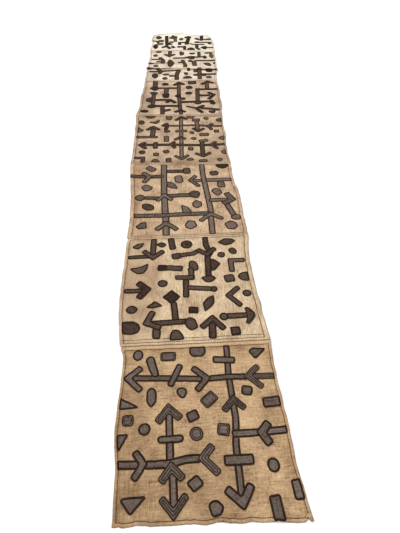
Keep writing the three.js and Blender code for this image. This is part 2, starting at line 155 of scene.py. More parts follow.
def sides_at(panel, along_share):
    """Where a panel's left and right sides lie across the cloth."""
    index = PANELS.index(panel)
    start, end = JOINS[index][1], JOINS[index + 1][1]
    along = start + (end - start) * along_share
    sides = [through(side, along_share) for side in SIDES[panel]]
    for bend in BENDS:
        if bend["panel"] == panel:
            away = (along - bend["along"]) / bend["reach"]
            sides[bend["side"]] += bend["by"] * math.exp(-away * away)
    return [side + waver(line, along, WAVER["side"]) for side, line in zip(sides, SIDE_LINES)]


def ends_of(panel, across_share):
    """Where a panel starts and ends along the cloth, at a share of its width."""
    index = PANELS.index(panel)
    return join_at(index, across_share) + GAP / 2, join_at(index + 1, across_share) - GAP / 2


def place_on(panel, across_share, along_share):
    """The place across and along the cloth, at shares of a panel's width and length."""
    near, far = ends_of(panel, across_share)
    left, right = sides_at(panel, along_share)
    return left + (right - left) * across_share, near + (far - near) * along_share


def shares_at(panel, across, along):
    """The shares of a panel's width and length at a place. Three rounds settle it to a few microns."""
    across_share = 0.5
    for _ in range(3):
        near, far = ends_of(panel, across_share)
        along_share = (along - near) / (far - near)
        left, right = sides_at(panel, along_share)
        across_share = (across - left) / (right - left)
    return across_share, along_share


def width_of(panel):
    return SIDES[panel][1][2] - SIDES[panel][0][2]


def length_of(panel):
    near, far = ends_of(panel, 0.5)
    return far - near


for panel in PANELS:
    print("panel", panel, round(width_of(panel)), "x", round(length_of(panel)), "mm")

# %% [markdown]
# The cloth rests flat on most of the floor, and rises in a few places: two stiff ridges where it was
# folded for storage, soft creases, broad swells, and side hems that are a little too long. The heights
# are sums of these rises, less what the cloth's own weight presses out. Cloth simulation would relax
# the ridges that raffia keeps, so they are listed one by one. Low wrinkles a finger or two wide, drawn
# out along the warp, are added on top of that, because they lift even where the cloth lies flat.

# %% Raise the folds
FOLDS = [
    {"line": [(-352, 3796), (-10, 3780), (110, 3754), (322, 3742)], "width": 21, "height": 11},
    {"line": [(-372, 3797), (-302, 3794)], "width": 17, "height": 3.8},
    {"line": [(-345, 3926), (-150, 3934)], "width": 26, "height": 7},
    {"line": [(-378, 1548), (308, 1540)], "width": 24, "height": 4},
    {"line": [(-385, 3205), (302, 3195)], "width": 30, "height": 5},
    {"line": [(-403, 2556), (285, 2545)], "width": 26, "height": 4},
    {"line": [(-403, 2672), (120, 2668)], "width": 30, "height": 4},
    {"line": [(-120, 350), (-62, 262)], "width": 34, "height": 4},
    {"line": [(-330, 4655), (-270, 4735)], "width": 46, "height": 16},
    {"line": [(300, 4600), (250, 4680)], "width": 42, "height": 10},
    {"line": [(-18, 988), (14, 922)], "width": 9, "height": 3.2},
    {"line": [(-42, 1020), (-8, 978)], "width": 10, "height": 2.6},
    {"line": [(150, 940), (205, 958)], "width": 9, "height": 2.4},
    {"line": [(230, 620), (180, 560)], "width": 13, "height": 2.6},
    {"line": [(300, 250), (190, 180)], "width": 22, "height": 3.2},
    {"line": [(-20, 250), (35, 120)], "width": 20, "height": 2.8},
    {"line": [(-300, 150), (-190, 120)], "width": 18, "height": 2.4},
]
SWELLS = [
    {"across": 620, "along": 910, "phase": 0.4, "height": 1.5},
    {"across": -480, "along": 540, "phase": 2.1, "height": 1.2},
    {"across": 350, "along": -730, "phase": 4.4, "height": 0.9},
]
SETTLE = 1.7
SIDE_WAVE = {"length": 235, "height": 5, "reach": 42, "right_phase": 2}
PUCKERS = [{"size": 48, "height": 0.5}, {"size": 130, "height": 0.7}]
WRINKLES = [{"size": 24, "height": 1.6}, {"size": 57, "height": 2.4}]
WRINKLE_DRAW = 0.6
WRINKLE_LAYER = 90


def fold_lift(fold, across, along):
    nearest = math.inf
    for (from_x, from_y), (to_x, to_y) in zip(fold["line"], fold["line"][1:]):
        run_x, run_y = to_x - from_x, to_y - from_y
        share = ((across - from_x) * run_x + (along - from_y) * run_y) / (run_x**2 + run_y**2)
        share = min(max(share, 0), 1)
        away = math.hypot(across - from_x - run_x * share, along - from_y - run_y * share)
        nearest = min(nearest, away)
    return fold["height"] * math.exp(-((nearest / fold["width"]) ** 2))


def underside(panel, across, along, across_share):
    """How high the cloth's underside lies over the floor, in millimetres."""
    from_side = min(across_share, 1 - across_share) * width_of(panel)
    phase = 0 if across_share < 0.5 else SIDE_WAVE["right_phase"]
    wave = max(0, math.sin(2 * math.pi * along / SIDE_WAVE["length"] + phase))
    height = SIDE_WAVE["height"] * wave * math.exp(-from_side / SIDE_WAVE["reach"]) - SETTLE
    for fold in FOLDS:
        height += fold_lift(fold, across, along)
    for swell in SWELLS:
        turns = across / swell["across"] + along / swell["along"]
        height += swell["height"] * math.sin(2 * math.pi * turns + swell["phase"])
    for pucker in PUCKERS:
        spot = Vector((across, along, 0)) / pucker["size"]
        height += pucker["height"] * noise.noise(spot)
    wrinkled = 0
    for wrinkle in WRINKLES:
        spot = Vector((across, along * WRINKLE_DRAW, WRINKLE_LAYER)) / wrinkle["size"]
        wrinkled += wrinkle["height"] * max(0, noise.noise(spot))
    return max(0, height) + wrinkled


def in_metres(across, along, height):
    return Vector((across - MIDDLE.x, along - MIDDLE.y, height)) / 1000


print("ridge height:", round(underside("f", -15, 3772, 0.5), 1), "mm")

# %% [markdown]
# A hem is the cloth's own edge turned under twice and held by a row of running stitch. It is twice as
# thick as the cloth, rounded at the very edge, and pressed down along the stitches. The section below
# gives its thickness at a few distances in from the edge, for the plainest hem, and each panel's grid
# has a line of points at each of them. No two hems were turned equally wide, so a table gives each
# panel's left, right, near and far hem, and the section is stretched to it. The hem is painted darker
# at the very edge and in the stitched groove, partly for the soil that settles there and partly as
# painted shade of the groove and of the edge, so a second table says how dark it is painted at each
# distance.

# %% Shape the hem
HEM_SECTION = [(0, 0.9), (1.2, 1.9), (3.5, 2.5), (8, 2.6), (11, 2.1), (12.5, 1.7), (14, 2.0), (17, 1.25)]
STITCH_LINE = 12.5
HEMS = {
    "a": (13, 14, 14, 24),
    "b": (18, 26, 16, 14),
    "c": (28, 22, 16, 18),
    "d": (23, 15, 16, 16),
    "e": (22, 18, 16, 16),
    "f": (18, 16, 16, 16),
    "g": (15, 15, 14, 14),
}
# Soil and painted shade: the hem is painted darkest at its very edge and in the stitched groove.
SOIL_AND_SHADE = [(0, 1.0), (1.2, 0.6), (3.5, 0.05), (8, 0.0), (11, 0.35), (12.5, 1.0), (14, 0.75), (17, 0.3), (26, 0)]
CELL = 8


def read_off(table, place):
    """A value between the entries of a table of places and values, and its last value past them."""
    for (start, low), (end, high) in zip(table, table[1:]):
        if place <= end:
            return low + (high - low) * (place - start) / (end - start)
    return table[-1][1]


def thickness_at(from_edge):
    """The cloth's thickness at a distance in from its nearest edge."""
    return read_off(HEM_SECTION, from_edge) if from_edge < HEM_SECTION[-1][0] else CLOTH_THICKNESS


def grid_shares(length, one_hem, other_hem):
    """Shares of a panel's width or length for its grid lines: fine in both hems, even between."""
    first = [distance * one_hem / HEM_WIDTH for distance, _ in HEM_SECTION]
    last = [distance * other_hem / HEM_WIDTH for distance, _ in HEM_SECTION]
    bare = length - first[-1] - last[-1]
    count = round(bare / CELL)
    middle = [first[-1] + bare * i / count for i in range(1, count)]
    lines = first + middle + [length - distance for distance in reversed(last)]
    return [line / length for line in lines]


def from_edge_at(panel, across_share, along_share):
    """The distance in from a panel's nearest edge, as it would be on the plainest hem."""
    width, length = width_of(panel), length_of(panel)
    left, right, near, far = HEMS[panel]
    across = min(across_share * width / left, (1 - across_share) * width / right)
    along = min(along_share * length / near, (1 - along_share) * length / far)
    return max(0, min(across, along)) * HEM_WIDTH


def stitch_shares(panel):
    """The shares of a panel's width and length at which its four stitch lines run."""
    width, length = width_of(panel), length_of(panel)
    left, right, near, far = (hem * STITCH_LINE / HEM_WIDTH for hem in HEMS[panel])
    return left / width, 1 - right / width, near / length, 1 - far / length


def cloth_top(panel, across, along):
    """The height of the cloth's upper face at a place."""
    across_share, along_share = shares_at(panel, across, along)
    thickness = thickness_at(from_edge_at(panel, across_share, along_share))
    return underside(panel, across, along, across_share) + thickness


print("grid lines across a panel:", len(grid_shares(width_of("a"), *HEMS["a"][:2])))

# %% [markdown]
# Old raffia is never one colour. Sweat, palm oil and smoke leave brown clouds and small spots, and
# light bleaches the rest. The clouds are listed in the cloth's own millimetres, and stored on the mesh
# as an attribute that the finish reads, so that they keep to the cloth from any side. A depth under
# nothing is a place that the light has bleached. Some entries are no stains: the dark ones along the
# near flanks of the ridges on the sixth panel, at their ends and along the fold at 1548 are painted
# shade, and the pale ones on the raised hems at the first two joins are painted highlights.

# %% Place the stains, painted shade and painted highlights
STAINS_AND_PAINTED_LIGHT = [
    {"at": (-300, 1060), "size": (100, 380), "depth": 0.45},
    {"at": (-210, 1085), "size": (26, 150), "depth": 0.35},
    {"at": (-240, 60), "size": (230, 110), "depth": 0.3},
    {"at": (-300, 300), "size": (80, 260), "depth": 0.35},
    {"at": (-60, 110), "size": (130, 60), "depth": 0.25},
    {"at": (90, 60), "size": (60, 120), "depth": 0.15},
    {"at": (0, 590), "size": (330, 60), "depth": -0.3},
    {"at": (210, 330), "size": (110, 110), "depth": -0.25},
    # Painted highlights: paler on the raised hems at the first two joins.
    {"at": (0, 697), "size": (345, 10), "depth": -0.9},
    {"at": (-20, 1412), "size": (260, 7), "depth": -0.6},
    {"at": (20, 2190), "size": (420, 30), "depth": 0.35},
    {"at": (0, 4700), "size": (320, 90), "depth": -0.5},
    {"at": (40, 4150), "size": (200, 120), "depth": -0.35},
    {"at": (-200, 4745), "size": (34, 10), "depth": 0.9},
    {"at": (-300, 3660), "size": (60, 130), "depth": 0.15},
    # Painted shade: darker along the near flanks of the ridges and of the fold at 1548, and at the ridges'
    # ends.
    {"at": (-335, 3784), "size": (46, 13), "depth": 1.5},
    {"at": (-240, 3780), "size": (80, 12), "depth": 0.9},
    {"at": (-120, 3775), "size": (90, 8), "depth": 0.4},
    {"at": (60, 3750), "size": (60, 8), "depth": 0.5},
    {"at": (150, 3739), "size": (60, 11), "depth": 0.9},
    {"at": (270, 3732), "size": (80, 12), "depth": 1.2},
    {"at": (-330, 3914), "size": (34, 13), "depth": 1.5},
    {"at": (-230, 3920), "size": (80, 14), "depth": 0.8},
    {"at": (310, 3914), "size": (20, 8), "depth": 0.7},
    {"at": (-250, 1543), "size": (150, 4), "depth": 0.7},
    {"at": (-352, 2095), "size": (26, 40), "depth": 0.6},
    {"at": (-342, 1700), "size": (12, 70), "depth": 0.6},
    {"at": (270, 1500), "size": (50, 12), "depth": 0.4},
    {"at": (-210, 142), "size": (10, 5), "depth": 0.8},
    {"at": (-253, 262), "size": (7, 5), "depth": 0.5},
    {"at": (60, 250), "size": (260, 90), "depth": 0.18},
    {"at": (-330, 2000), "size": (70, 240), "depth": 0.3},
    {"at": (240, 2300), "size": (90, 200), "depth": 0.25},
    {"at": (-340, 3050), "size": (60, 260), "depth": 0.5},
    {"at": (300, 3100), "size": (40, 260), "depth": 0.35},
    {"at": (-340, 3590), "size": (60, 90), "depth": 0.1},
]
DEEPEST = 1.5


def stain_and_painted_light_at(across, along):
    total = 0
    for stain_and_painted_light in STAINS_AND_PAINTED_LIGHT:
        x = (across - stain_and_painted_light["at"][0]) / stain_and_painted_light["size"][0]
        y = (along - stain_and_painted_light["at"][1]) / stain_and_painted_light["size"][1]
        total += stain_and_painted_light["depth"] * math.exp(-x * x - y * y)
    return min(total, DEEPEST)


print("stains:", len(STAINS_AND_PAINTED_LIGHT))

# %% [markdown]
# Each panel starts as a flat grid made by one operator. Its points are moved onto the measured
# outline, then the whole face is extruded to give the underside, so that the sheet is closed and has
# the thickness of real cloth. Its UV map holds real metres across and along, for the weave.

# %% Weave the panels
def finished_object(name, bm):
    """A mesh object at the origin from a bmesh, smooth shaded."""
    mesh = bpy.data.meshes.new(name)
    bm.to_mesh(mesh)
    bm.free()
    mesh.shade_smooth()
    piece = bpy.data.objects.new(name, mesh)
    bpy.context.scene.collection.objects.link(piece)
    return piece


def point_layers(bm, *names):
    """New layers of numbers on a bmesh's points."""
    return [bm.verts.layers.float.new(name) for name in names]


def new_underside(bm):
    """Extrudes every face once, and gives the points of the new layer."""
    made = bmesh.ops.extrude_face_region(bm, geom=bm.faces[:], use_keep_orig=True)
    return [part for part in made["geom"] if isinstance(part, bmesh.types.BMVert)]


def map_cloth(bm, place_of):
    """A UV map named cloth, in real metres, from a function that gives a point's place on its cloth."""
    uv_layer = bm.loops.layers.uv.new("cloth")
    for face in bm.faces:
        for loop in face.loops:
            loop[uv_layer].uv = place_of(loop.vert)


def woven_panel(panel):
    left, right, near, far = HEMS[panel]
    columns = grid_shares(width_of(panel), left, right)
    rows = grid_shares(length_of(panel), near, far)
    bm = bmesh.new()
    bmesh.ops.create_grid(bm, x_segments=len(columns) - 1, y_segments=len(rows) - 1, size=0.5)
    stain_and_painted_light_layer, hem_layer, across_layer, along_layer, under_layer = point_layers(
        bm, "stain_and_painted_light", "hem", "across", "along", "under")
    for vert in bm.verts:
        across_share = columns[round((vert.co.x + 0.5) * (len(columns) - 1))]
        along_share = rows[round((vert.co.y + 0.5) * (len(rows) - 1))]
        across, along = place_on(panel, across_share, along_share)
        from_edge = from_edge_at(panel, across_share, along_share)
        low = underside(panel, across, along, across_share)
        vert[stain_and_painted_light_layer] = stain_and_painted_light_at(across, along)
        vert[hem_layer] = read_off(SOIL_AND_SHADE, from_edge)
        vert[across_layer] = across
        vert[along_layer] = along
        vert[under_layer] = low
        vert.co = in_metres(across, along, low + thickness_at(from_edge))
    for vert in new_underside(bm):
        vert.co.z = vert[under_layer] / 1000
    bmesh.ops.recalc_face_normals(bm, faces=bm.faces)
    map_cloth(bm, lambda vert: (vert[across_layer] / 1000, vert[along_layer] / 1000))
    return finished_object("woven_panel_" + panel, bm)


panel_pieces = {panel: woven_panel(panel) for panel in PANELS}
print("panel faces:", sum(len(piece.data.polygons) for piece in panel_pieces.values()))

# %% [markdown]
# The patches are pieces of a second, dyed raffia cloth, cut freehand and laid on the ground cloth:
# long strips, chevron heads at their ends and along them, crossbars, blocks, discs and odd offcuts.
# Such figures are a tradition with many makers. Each piece here is built from its kind, its size, and
# its middle, its few corners or the line it follows. The unevenness of the cutting is a formula's.

# %% Cut the patches
TURN_STEPS = 18
CORNER_ROUND = 7
HEAD_MITRE = 0.42
BLUNTEST_HEAD = 0.35
LEAF_POINT = 0.35


def strip(width, *line, lay=0, ringed=False, dye=0.5, tone=0.5, past=0):
    """A strip of even width along a line that may bend. Its tone runs from olive, 0, to plum, 1.

    past is how far over the hem's stitch line it may run.
    """
    return {"kind": "strip", "width": width, "line": line, "lay": lay, "ringed": ringed, "dye": dye,
            "tone": tone, "past": past}


def head(width, tip, one_arm, other_arm, lay=1, **facts):
    """A chevron head. Its tip is the outer point, and the line through it starts half a mitre inside."""
    tip, one_arm, other_arm = Vector(tip), Vector(one_arm), Vector(other_arm)
    inwards = ((one_arm - tip).normalized() + (other_arm - tip).normalized()).normalized()
    half_angle = inwards.angle((one_arm - tip).normalized())
    inside = tip + inwards * (HEAD_MITRE * width / max(BLUNTEST_HEAD, math.sin(half_angle)))
    return strip(width, one_arm, inside, other_arm, lay=lay, **facts)


def cut(*corners, lay=0, ringed=False, dye=0.5, tone=0.5, rounding=CORNER_ROUND, past=0):
    """A flat piece with a few corners."""
    return {"kind": "cut", "corners": corners, "lay": lay, "ringed": ringed, "dye": dye,
            "tone": tone, "past": past, "rounding": rounding}


def block(x, y, width, height, turn=0, **facts):
    """A block, turned about its middle."""
    angle = math.radians(turn)
    across = Vector((math.cos(angle), math.sin(angle))) * width / 2
    along = Vector((-math.sin(angle), math.cos(angle))) * height / 2
    middle = Vector((x, y))
    corners = [middle - across - along, middle + across - along]
    corners += [middle + across + along, middle - across + along]
    return cut(*corners, **facts)


def disc(x, y, width, height=None, **facts):
    """A disc or an oval, cut by eye in a few long snips."""
    height = height or width
    corners = []
    for step in range(TURN_STEPS):
        angle = 2 * math.pi * step / TURN_STEPS
        corners.append((x + width / 2 * math.cos(angle), y + height / 2 * math.sin(angle)))
    return cut(*corners, rounding=2, **facts)


def half_disc(x, y, width, height, turn=0, **facts):
    """Half a disc, flat along its lower side before it is turned."""
    angle = math.radians(turn)
    corners = []
    for step in range(TURN_STEPS // 2 + 1):
        swing = 2 * math.pi * step / TURN_STEPS
        a, b = width / 2 * math.cos(swing), height * (math.sin(swing) - 0.5)
        corners.append((x + a * math.cos(angle) - b * math.sin(angle),
                        y + a * math.sin(angle) + b * math.cos(angle)))
    return cut(*corners, rounding=3, **facts)


def leaf(x, y, length, width, turn=0, **facts):
    """A pointed leaf: two shallow arcs that meet at both tips."""
    angle = math.radians(turn)
    corners = []
    for step in range(TURN_STEPS):
        swing = 2 * math.pi * step / TURN_STEPS
        a = length / 2 * math.cos(swing)
        b = width / 2 * math.sin(swing) * abs(math.sin(swing)) ** LEAF_POINT
        corners.append((x + a * math.cos(angle) - b * math.sin(angle),
                        y + a * math.sin(angle) + b * math.cos(angle)))
    return cut(*corners, rounding=2, **facts)


print("kinds of patch: strip, head, cut, block, disc, half disc, leaf")

# %% [markdown]
# The near panel has two tall figures, one hung from a long bar and one with a bar across its foot. Its
# pieces are the largest and cleanest, and some carry a second line of thread inside the first.

# %% Lay out panel a
LAYOUT = {}
LAYOUT["a"] = [
    strip(27, (115, 700), (110, 535), (115, 455), (120, 350), (110, 255), (111, 66)),
    strip(27, (-312, 548), (-150, 540), (-53, 534), (10, 528), (46, 531), (108, 534), (200, 531)),
    strip(28, (190, 531), (320, 528), ringed=True),
    strip(29, (99, 295), (205, 296), (330, 302)),
    head(28, (-341, 548), (-262, 595), (-260, 489), past=5),
    cut((-244, 628), (-238, 643), (-224, 650), (-210, 643), (-205, 620), (-187, 556), (-195, 546),
        (-212, 548), (-232, 590)),
    strip(28, (-94, 602), (-141, 503), lay=1),
    block(97, 615, 96, 28, -5, lay=1, rounding=4),
    head(28, (37, 533), (-44, 585), (-30, 477)),
    head(26, (173, 535), (243, 579), (249, 479), ringed=True),
    head(27, (119, 455), (75, 386), (163, 393), ringed=True),
    head(34, (190, 297), (249, 334), (243, 248)),
    block(115, 200, 110, 34, lay=1, rounding=4),
    head(32, (117, 30), (57, 107), (150, 117)),
    strip(29, (-144, 405), (-140, 205), (-131, 174), (-126, 40)),
    strip(30, (-350, 205), (-264, 202), (-202, 199), (-140, 200), (-78, 212), (-24, 213)),
    head(31, (-148, 434), (-191, 352), (-97, 364), ringed=True),
    block(-138, 287, 99, 24, lay=1, rounding=12),
    head(29, (-221, 204), (-274, 249), (-274, 150)),
    head(29, (-40, 214), (22, 258), (38, 156), ringed=True),
    head(29, (-137, 212), (-175, 138), (-92, 144), ringed=True),
    head(26, (-129, 14), (-173, 89), (-83, 95), ringed=True),
    disc(-281, 656, 44, 52),
    block(-148, 644, 66, 42, ringed=True),
    cut((-53, 688), (-53, 652), (-40, 638), (5, 638), (18, 652), (18, 688)),
    cut((210, 651), (232, 667), (290, 662), (235, 611)),
    cut((-235, 438), (-216, 414), (-197, 438), (-197, 482), (-206, 499), (-225, 499), (-235, 484)),
    cut((-116, 480), (-104, 495), (-78, 496), (-68, 474), (-80, 448), (-98, 451), rounding=11),
    cut((-350, 463), (-350, 414), (-266, 419)),
    block(-307, 368, 44, 42, ringed=True, rounding=10),
    disc(-240, 330, 47, 46),
    cut((-348, 312), (-302, 315), (-336, 250)),
    block(20, 438, 65, 47, 40, ringed=True),
    block(-50, 373, 46, 40, 23),
    disc(-38, 302, 52, 54, ringed=True),
    block(68, 314, 47, 45, -8, ringed=True),
    block(274, 415, 72, 40, 5),
    block(180, 469, 43, 40, -12),
    disc(240, 176, 45, 50),
    block(318, 92, 45, 66, 4, past=3),
    block(229, 37, 38, 82, 5, dye=0.6, past=8),
    cut((-9, 57), (4, 72), (29, 71), (46, 50), (34, 26), (5, 22)),
    block(-50, 129, 47, 40, 36),
    cut((-316, 90), (-298, 95), (-224, 96), (-278, 40)),
]
print("patches on panel a:", len(LAYOUT["a"]))

# %% [markdown]
# The second panel is crowded and darker: short broken figures, a diamond on a stalk, a stepped one and
# many half shapes that seem to be offcuts.

# %% Lay out panel b
LAYOUT["b"] = [
    cut((-349, 1337), (-320, 1364), (-282, 1370), (-291, 1344), (-318, 1321), dye=0.4, tone=0.2, rounding=5),
    strip(32, (-228, 1400), (-233, 1252)),
    strip(27, (-366, 1260), (-245, 1263)),
    head(30, (-233, 1231), (-285, 1307), (-173, 1301), tone=0.7),
    cut((-217, 1352), (-188, 1369), (-167, 1362), (-157, 1346), (-182, 1327), tone=0.8, rounding=5),
    strip(36, (-134, 1400), (-121, 1309)),
    disc(-45, 1347, 66, 64, ringed=True, dye=0.7),
    disc(-45, 1347, 16, lay=1, dye=0.6),
    strip(32, (61, 1402), (63, 1336), (83, 1274), (66, 1246), (63, 1100), dye=0.65, tone=0.8),
    head(31, (68, 1242), (11, 1304), (112, 1312), dye=0.65, tone=0.8),
    strip(29, (-85, 1262), (-8, 1273), (20, 1298)),
    block(-103, 1258, 50, 41, 10),
    cut((75, 1228), (100, 1224), (132, 1192), (102, 1148), (78, 1140), lay=1, ringed=True, dye=0.7),
    cut((22, 1095), (55, 1106), (80, 1111), (102, 1090), (73, 1064), (45, 1064), lay=1),
    cut((130, 1355), (170, 1385), (212, 1380), (234, 1367), (210, 1340), (170, 1326), ringed=True),
    cut((184, 1297), (208, 1311), (230, 1290), (225, 1262), (208, 1257), (189, 1272)),
    cut((119, 1257), (135, 1279), (163, 1273), (161, 1245), (142, 1236), (127, 1242)),
    strip(30, (266, 1212), (189, 1212), (189, 1128), dye=0.3),
    block(170, 1085, 52, 48, 10),
    half_disc(244, 1095, 64, 54, 90),
    head(28, (134, 973), (212, 1026), (212, 905), lay=0),
    disc(248, 983, 45, 40),
    cut((-352, 1178), (-320, 1181), (-290, 1190), (-254, 1210), (-260, 1172), (-276, 1144), (-306, 1138),
        (-332, 1155), rounding=5),
    strip(37, (-202, 1178), (-71, 1166), dye=0.55, tone=0.2),
    block(-179, 1175, 48, 40, -4, lay=1, dye=0.95),
    disc(-176, 1067, 50, 46, tone=0.9),
    strip(28, (-372, 1026), (-280, 1025)),
    head(35, (-229, 1036), (-305, 1078), (-297, 975), dye=0.7),
    cut((-36, 1207), (-25, 1222), (-4, 1213), (11, 1190), (11, 1149), (-15, 1146), (-39, 1175)),
    strip(31, (-28, 1170), (-25, 1082)),
    strip(30, (-112, 1104), (-14, 1100)),
    strip(31, (-56, 1090), (-58, 970)),
    strip(29, (-50, 1032), (76, 1019), tone=0.3),
    disc(84, 1018, 34, 36, lay=1),
    block(-131, 977, 63, 63, 45, dye=0.8, ringed=True, rounding=4),
    strip(31, (-121, 945), (-112, 835)),
    strip(31, (-255, 821), (-53, 828)),
    head(31, (-272, 819), (-220, 894), (-181, 795)),
    strip(37, (-202, 808), (-202, 738)),
    cut((-70, 832), (-46, 850), (-20, 838), (-8, 790), (-38, 773), (-66, 800), lay=1),
    cut((-141, 727), (-139, 760), (-125, 782), (-99, 779), (-80, 752), (-73, 729)),
    block(-25, 891, 46, 36, -5, dye=0.8, rounding=3),
    cut((23, 930), (48, 962), (80, 979), (79, 930), (56, 900), (29, 880), ringed=True, rounding=4),
    cut((-255, 918), (-213, 955), (-176, 925), (-220, 914), rounding=4),
    disc(-325, 908, 54, 46, dye=0.7),
    cut((-366, 838), (-312, 839), (-286, 822), (-279, 801), (-288, 776), (-316, 767), (-366, 771), dye=0.7),
    disc(119, 845, 42, lay=1),
    strip(31, (125, 847), (240, 849)),
    cut((224, 894), (240, 897), (269, 861), (270, 840), (236, 796), (220, 801), (232, 832), (229, 866),
        lay=1, dye=0.5, ringed=True, rounding=5),
    strip(34, (62, 830), (57, 726)),
    head(30, (65, 861), (7, 787), (116, 774)),
    block(166, 762, 43, 44, 3, dye=0.7, tone=0.9, rounding=3),
]
print("patches on panel b:", len(LAYOUT["b"]))

# %% [markdown]
# The third panel is an open lattice: two tall strips crossed by bars, with chevrons where they meet.
# A few of its pieces are nearly black, others faded to grey green or plum.

# %% Lay out panel c
LAYOUT["c"] = [
    strip(41, (-178, 2165), (-177, 1972), (-174, 1823), (-168, 1662), (-162, 1563), (-160, 1424)),
    strip(36, (84, 2165), (84, 2015), (99, 1817), (111, 1662), (108, 1550), (108, 1424), dye=0.4),
    cut((-305, 2105), (-280, 2135), (-228, 2097), (-234, 2074), (-260, 2060), (-291, 2085), tone=0.8),
    strip(36, (-412, 2022), (-326, 2009), (-283, 2003), (-180, 2006), dye=0.75, tone=0.3, past=22),
    head(34, (-252, 2010), (-322, 2055), (-312, 1940), dye=0.6, tone=0.2),
    strip(38, (-160, 2062), (-38, 2058), dye=0.65, tone=0.0),
    block(-22, 2062, 48, 68, 3, lay=1, dye=0.5, tone=0.0, rounding=14),
    cut((-108, 1996), (-95, 2006), (-60, 2011), (-49, 1940), (-70, 1927), (-101, 1937), dye=0.4, tone=1.0),
    cut((-325, 1895), (-305, 1917), (-280, 1914), (-245, 1882), (-265, 1854), (-301, 1848), tone=0.15),
    cut((-160, 1943), (-130, 1940), (-104, 1916), (-86, 1863), (-120, 1869), (-157, 1891), tone=0.8),
    strip(31, (10, 1947), (77, 1947)),
    head(28, (-20, 1953), (38, 2003), (56, 1882)),
    strip(37, (100, 1947), (290, 1950)),
    block(198, 1898, 45, 66, 3),
    half_disc(224, 2107, 96, 58, 180, dye=1.1, tone=0.8),
    block(161, 2025, 56, 50, 6, dye=0.65, tone=1.0, rounding=16),
    cut((129, 1835), (150, 1860), (186, 1852), (198, 1804), (170, 1776), (144, 1800), tone=0.7),
    strip(34, (108, 1736), (240, 1736)),
    head(40, (283, 1732), (221, 1803), (193, 1694), dye=0.55),
    strip(37, (213, 1700), (250, 1580), dye=0.55),
    disc(260, 1565, 64, 54, lay=1, tone=0.1),
    strip(33, (-301, 1777), (-185, 1771), dye=0.55, tone=0.2),
    disc(-326, 1781, 61, lay=1, dye=0.45, tone=0.1),
    head(28, (-171, 1826), (-222, 1744), (-124, 1747)),
    strip(38, (-160, 1792), (-5, 1795), dye=0.65, tone=0.2),
    cut((-15, 1816), (5, 1834), (46, 1832), (57, 1800), (36, 1758), (-6, 1774), dye=0.85, tone=0.2, lay=1),
    cut((-312, 1716), (-265, 1719), (-237, 1696), (-233, 1659), (-280, 1653), (-309, 1680), dye=0.8,
        tone=0.1, rounding=10),
    cut((1, 1710), (25, 1740), (58, 1721), (62, 1684), (32, 1661), (6, 1675), dye=0.35, tone=1.0),
    cut((-67, 1697), (-25, 1671), (0, 1616), (-59, 1616), tone=0.0, dye=0.4),
    strip(36, (-358, 1607), (-177, 1603), (-53, 1609), (110, 1609), dye=0.65),
    head(29, (108, 1622), (41, 1539), (178, 1553), tone=0.8),
    head(32, (-162, 1553), (-220, 1474), (-95, 1471)),
    cut((-342, 1510), (-306, 1541), (-280, 1545), (-274, 1494), (-320, 1486), dye=0.7, tone=0.6),
    cut((-50, 1510), (-31, 1547), (11, 1541), (22, 1500), (-15, 1470), (-41, 1484), dye=0.4, tone=0.8),
    cut((183, 1510), (220, 1532), (251, 1521), (262, 1485), (235, 1456), (199, 1464), dye=0.3, tone=1.0),
]
print("patches on panel c:", len(LAYOUT["c"]))

# %% [markdown]
# The fourth panel has one tall spine with two bars across it, and rows of small discs, blocks and half
# moons in the fields between.

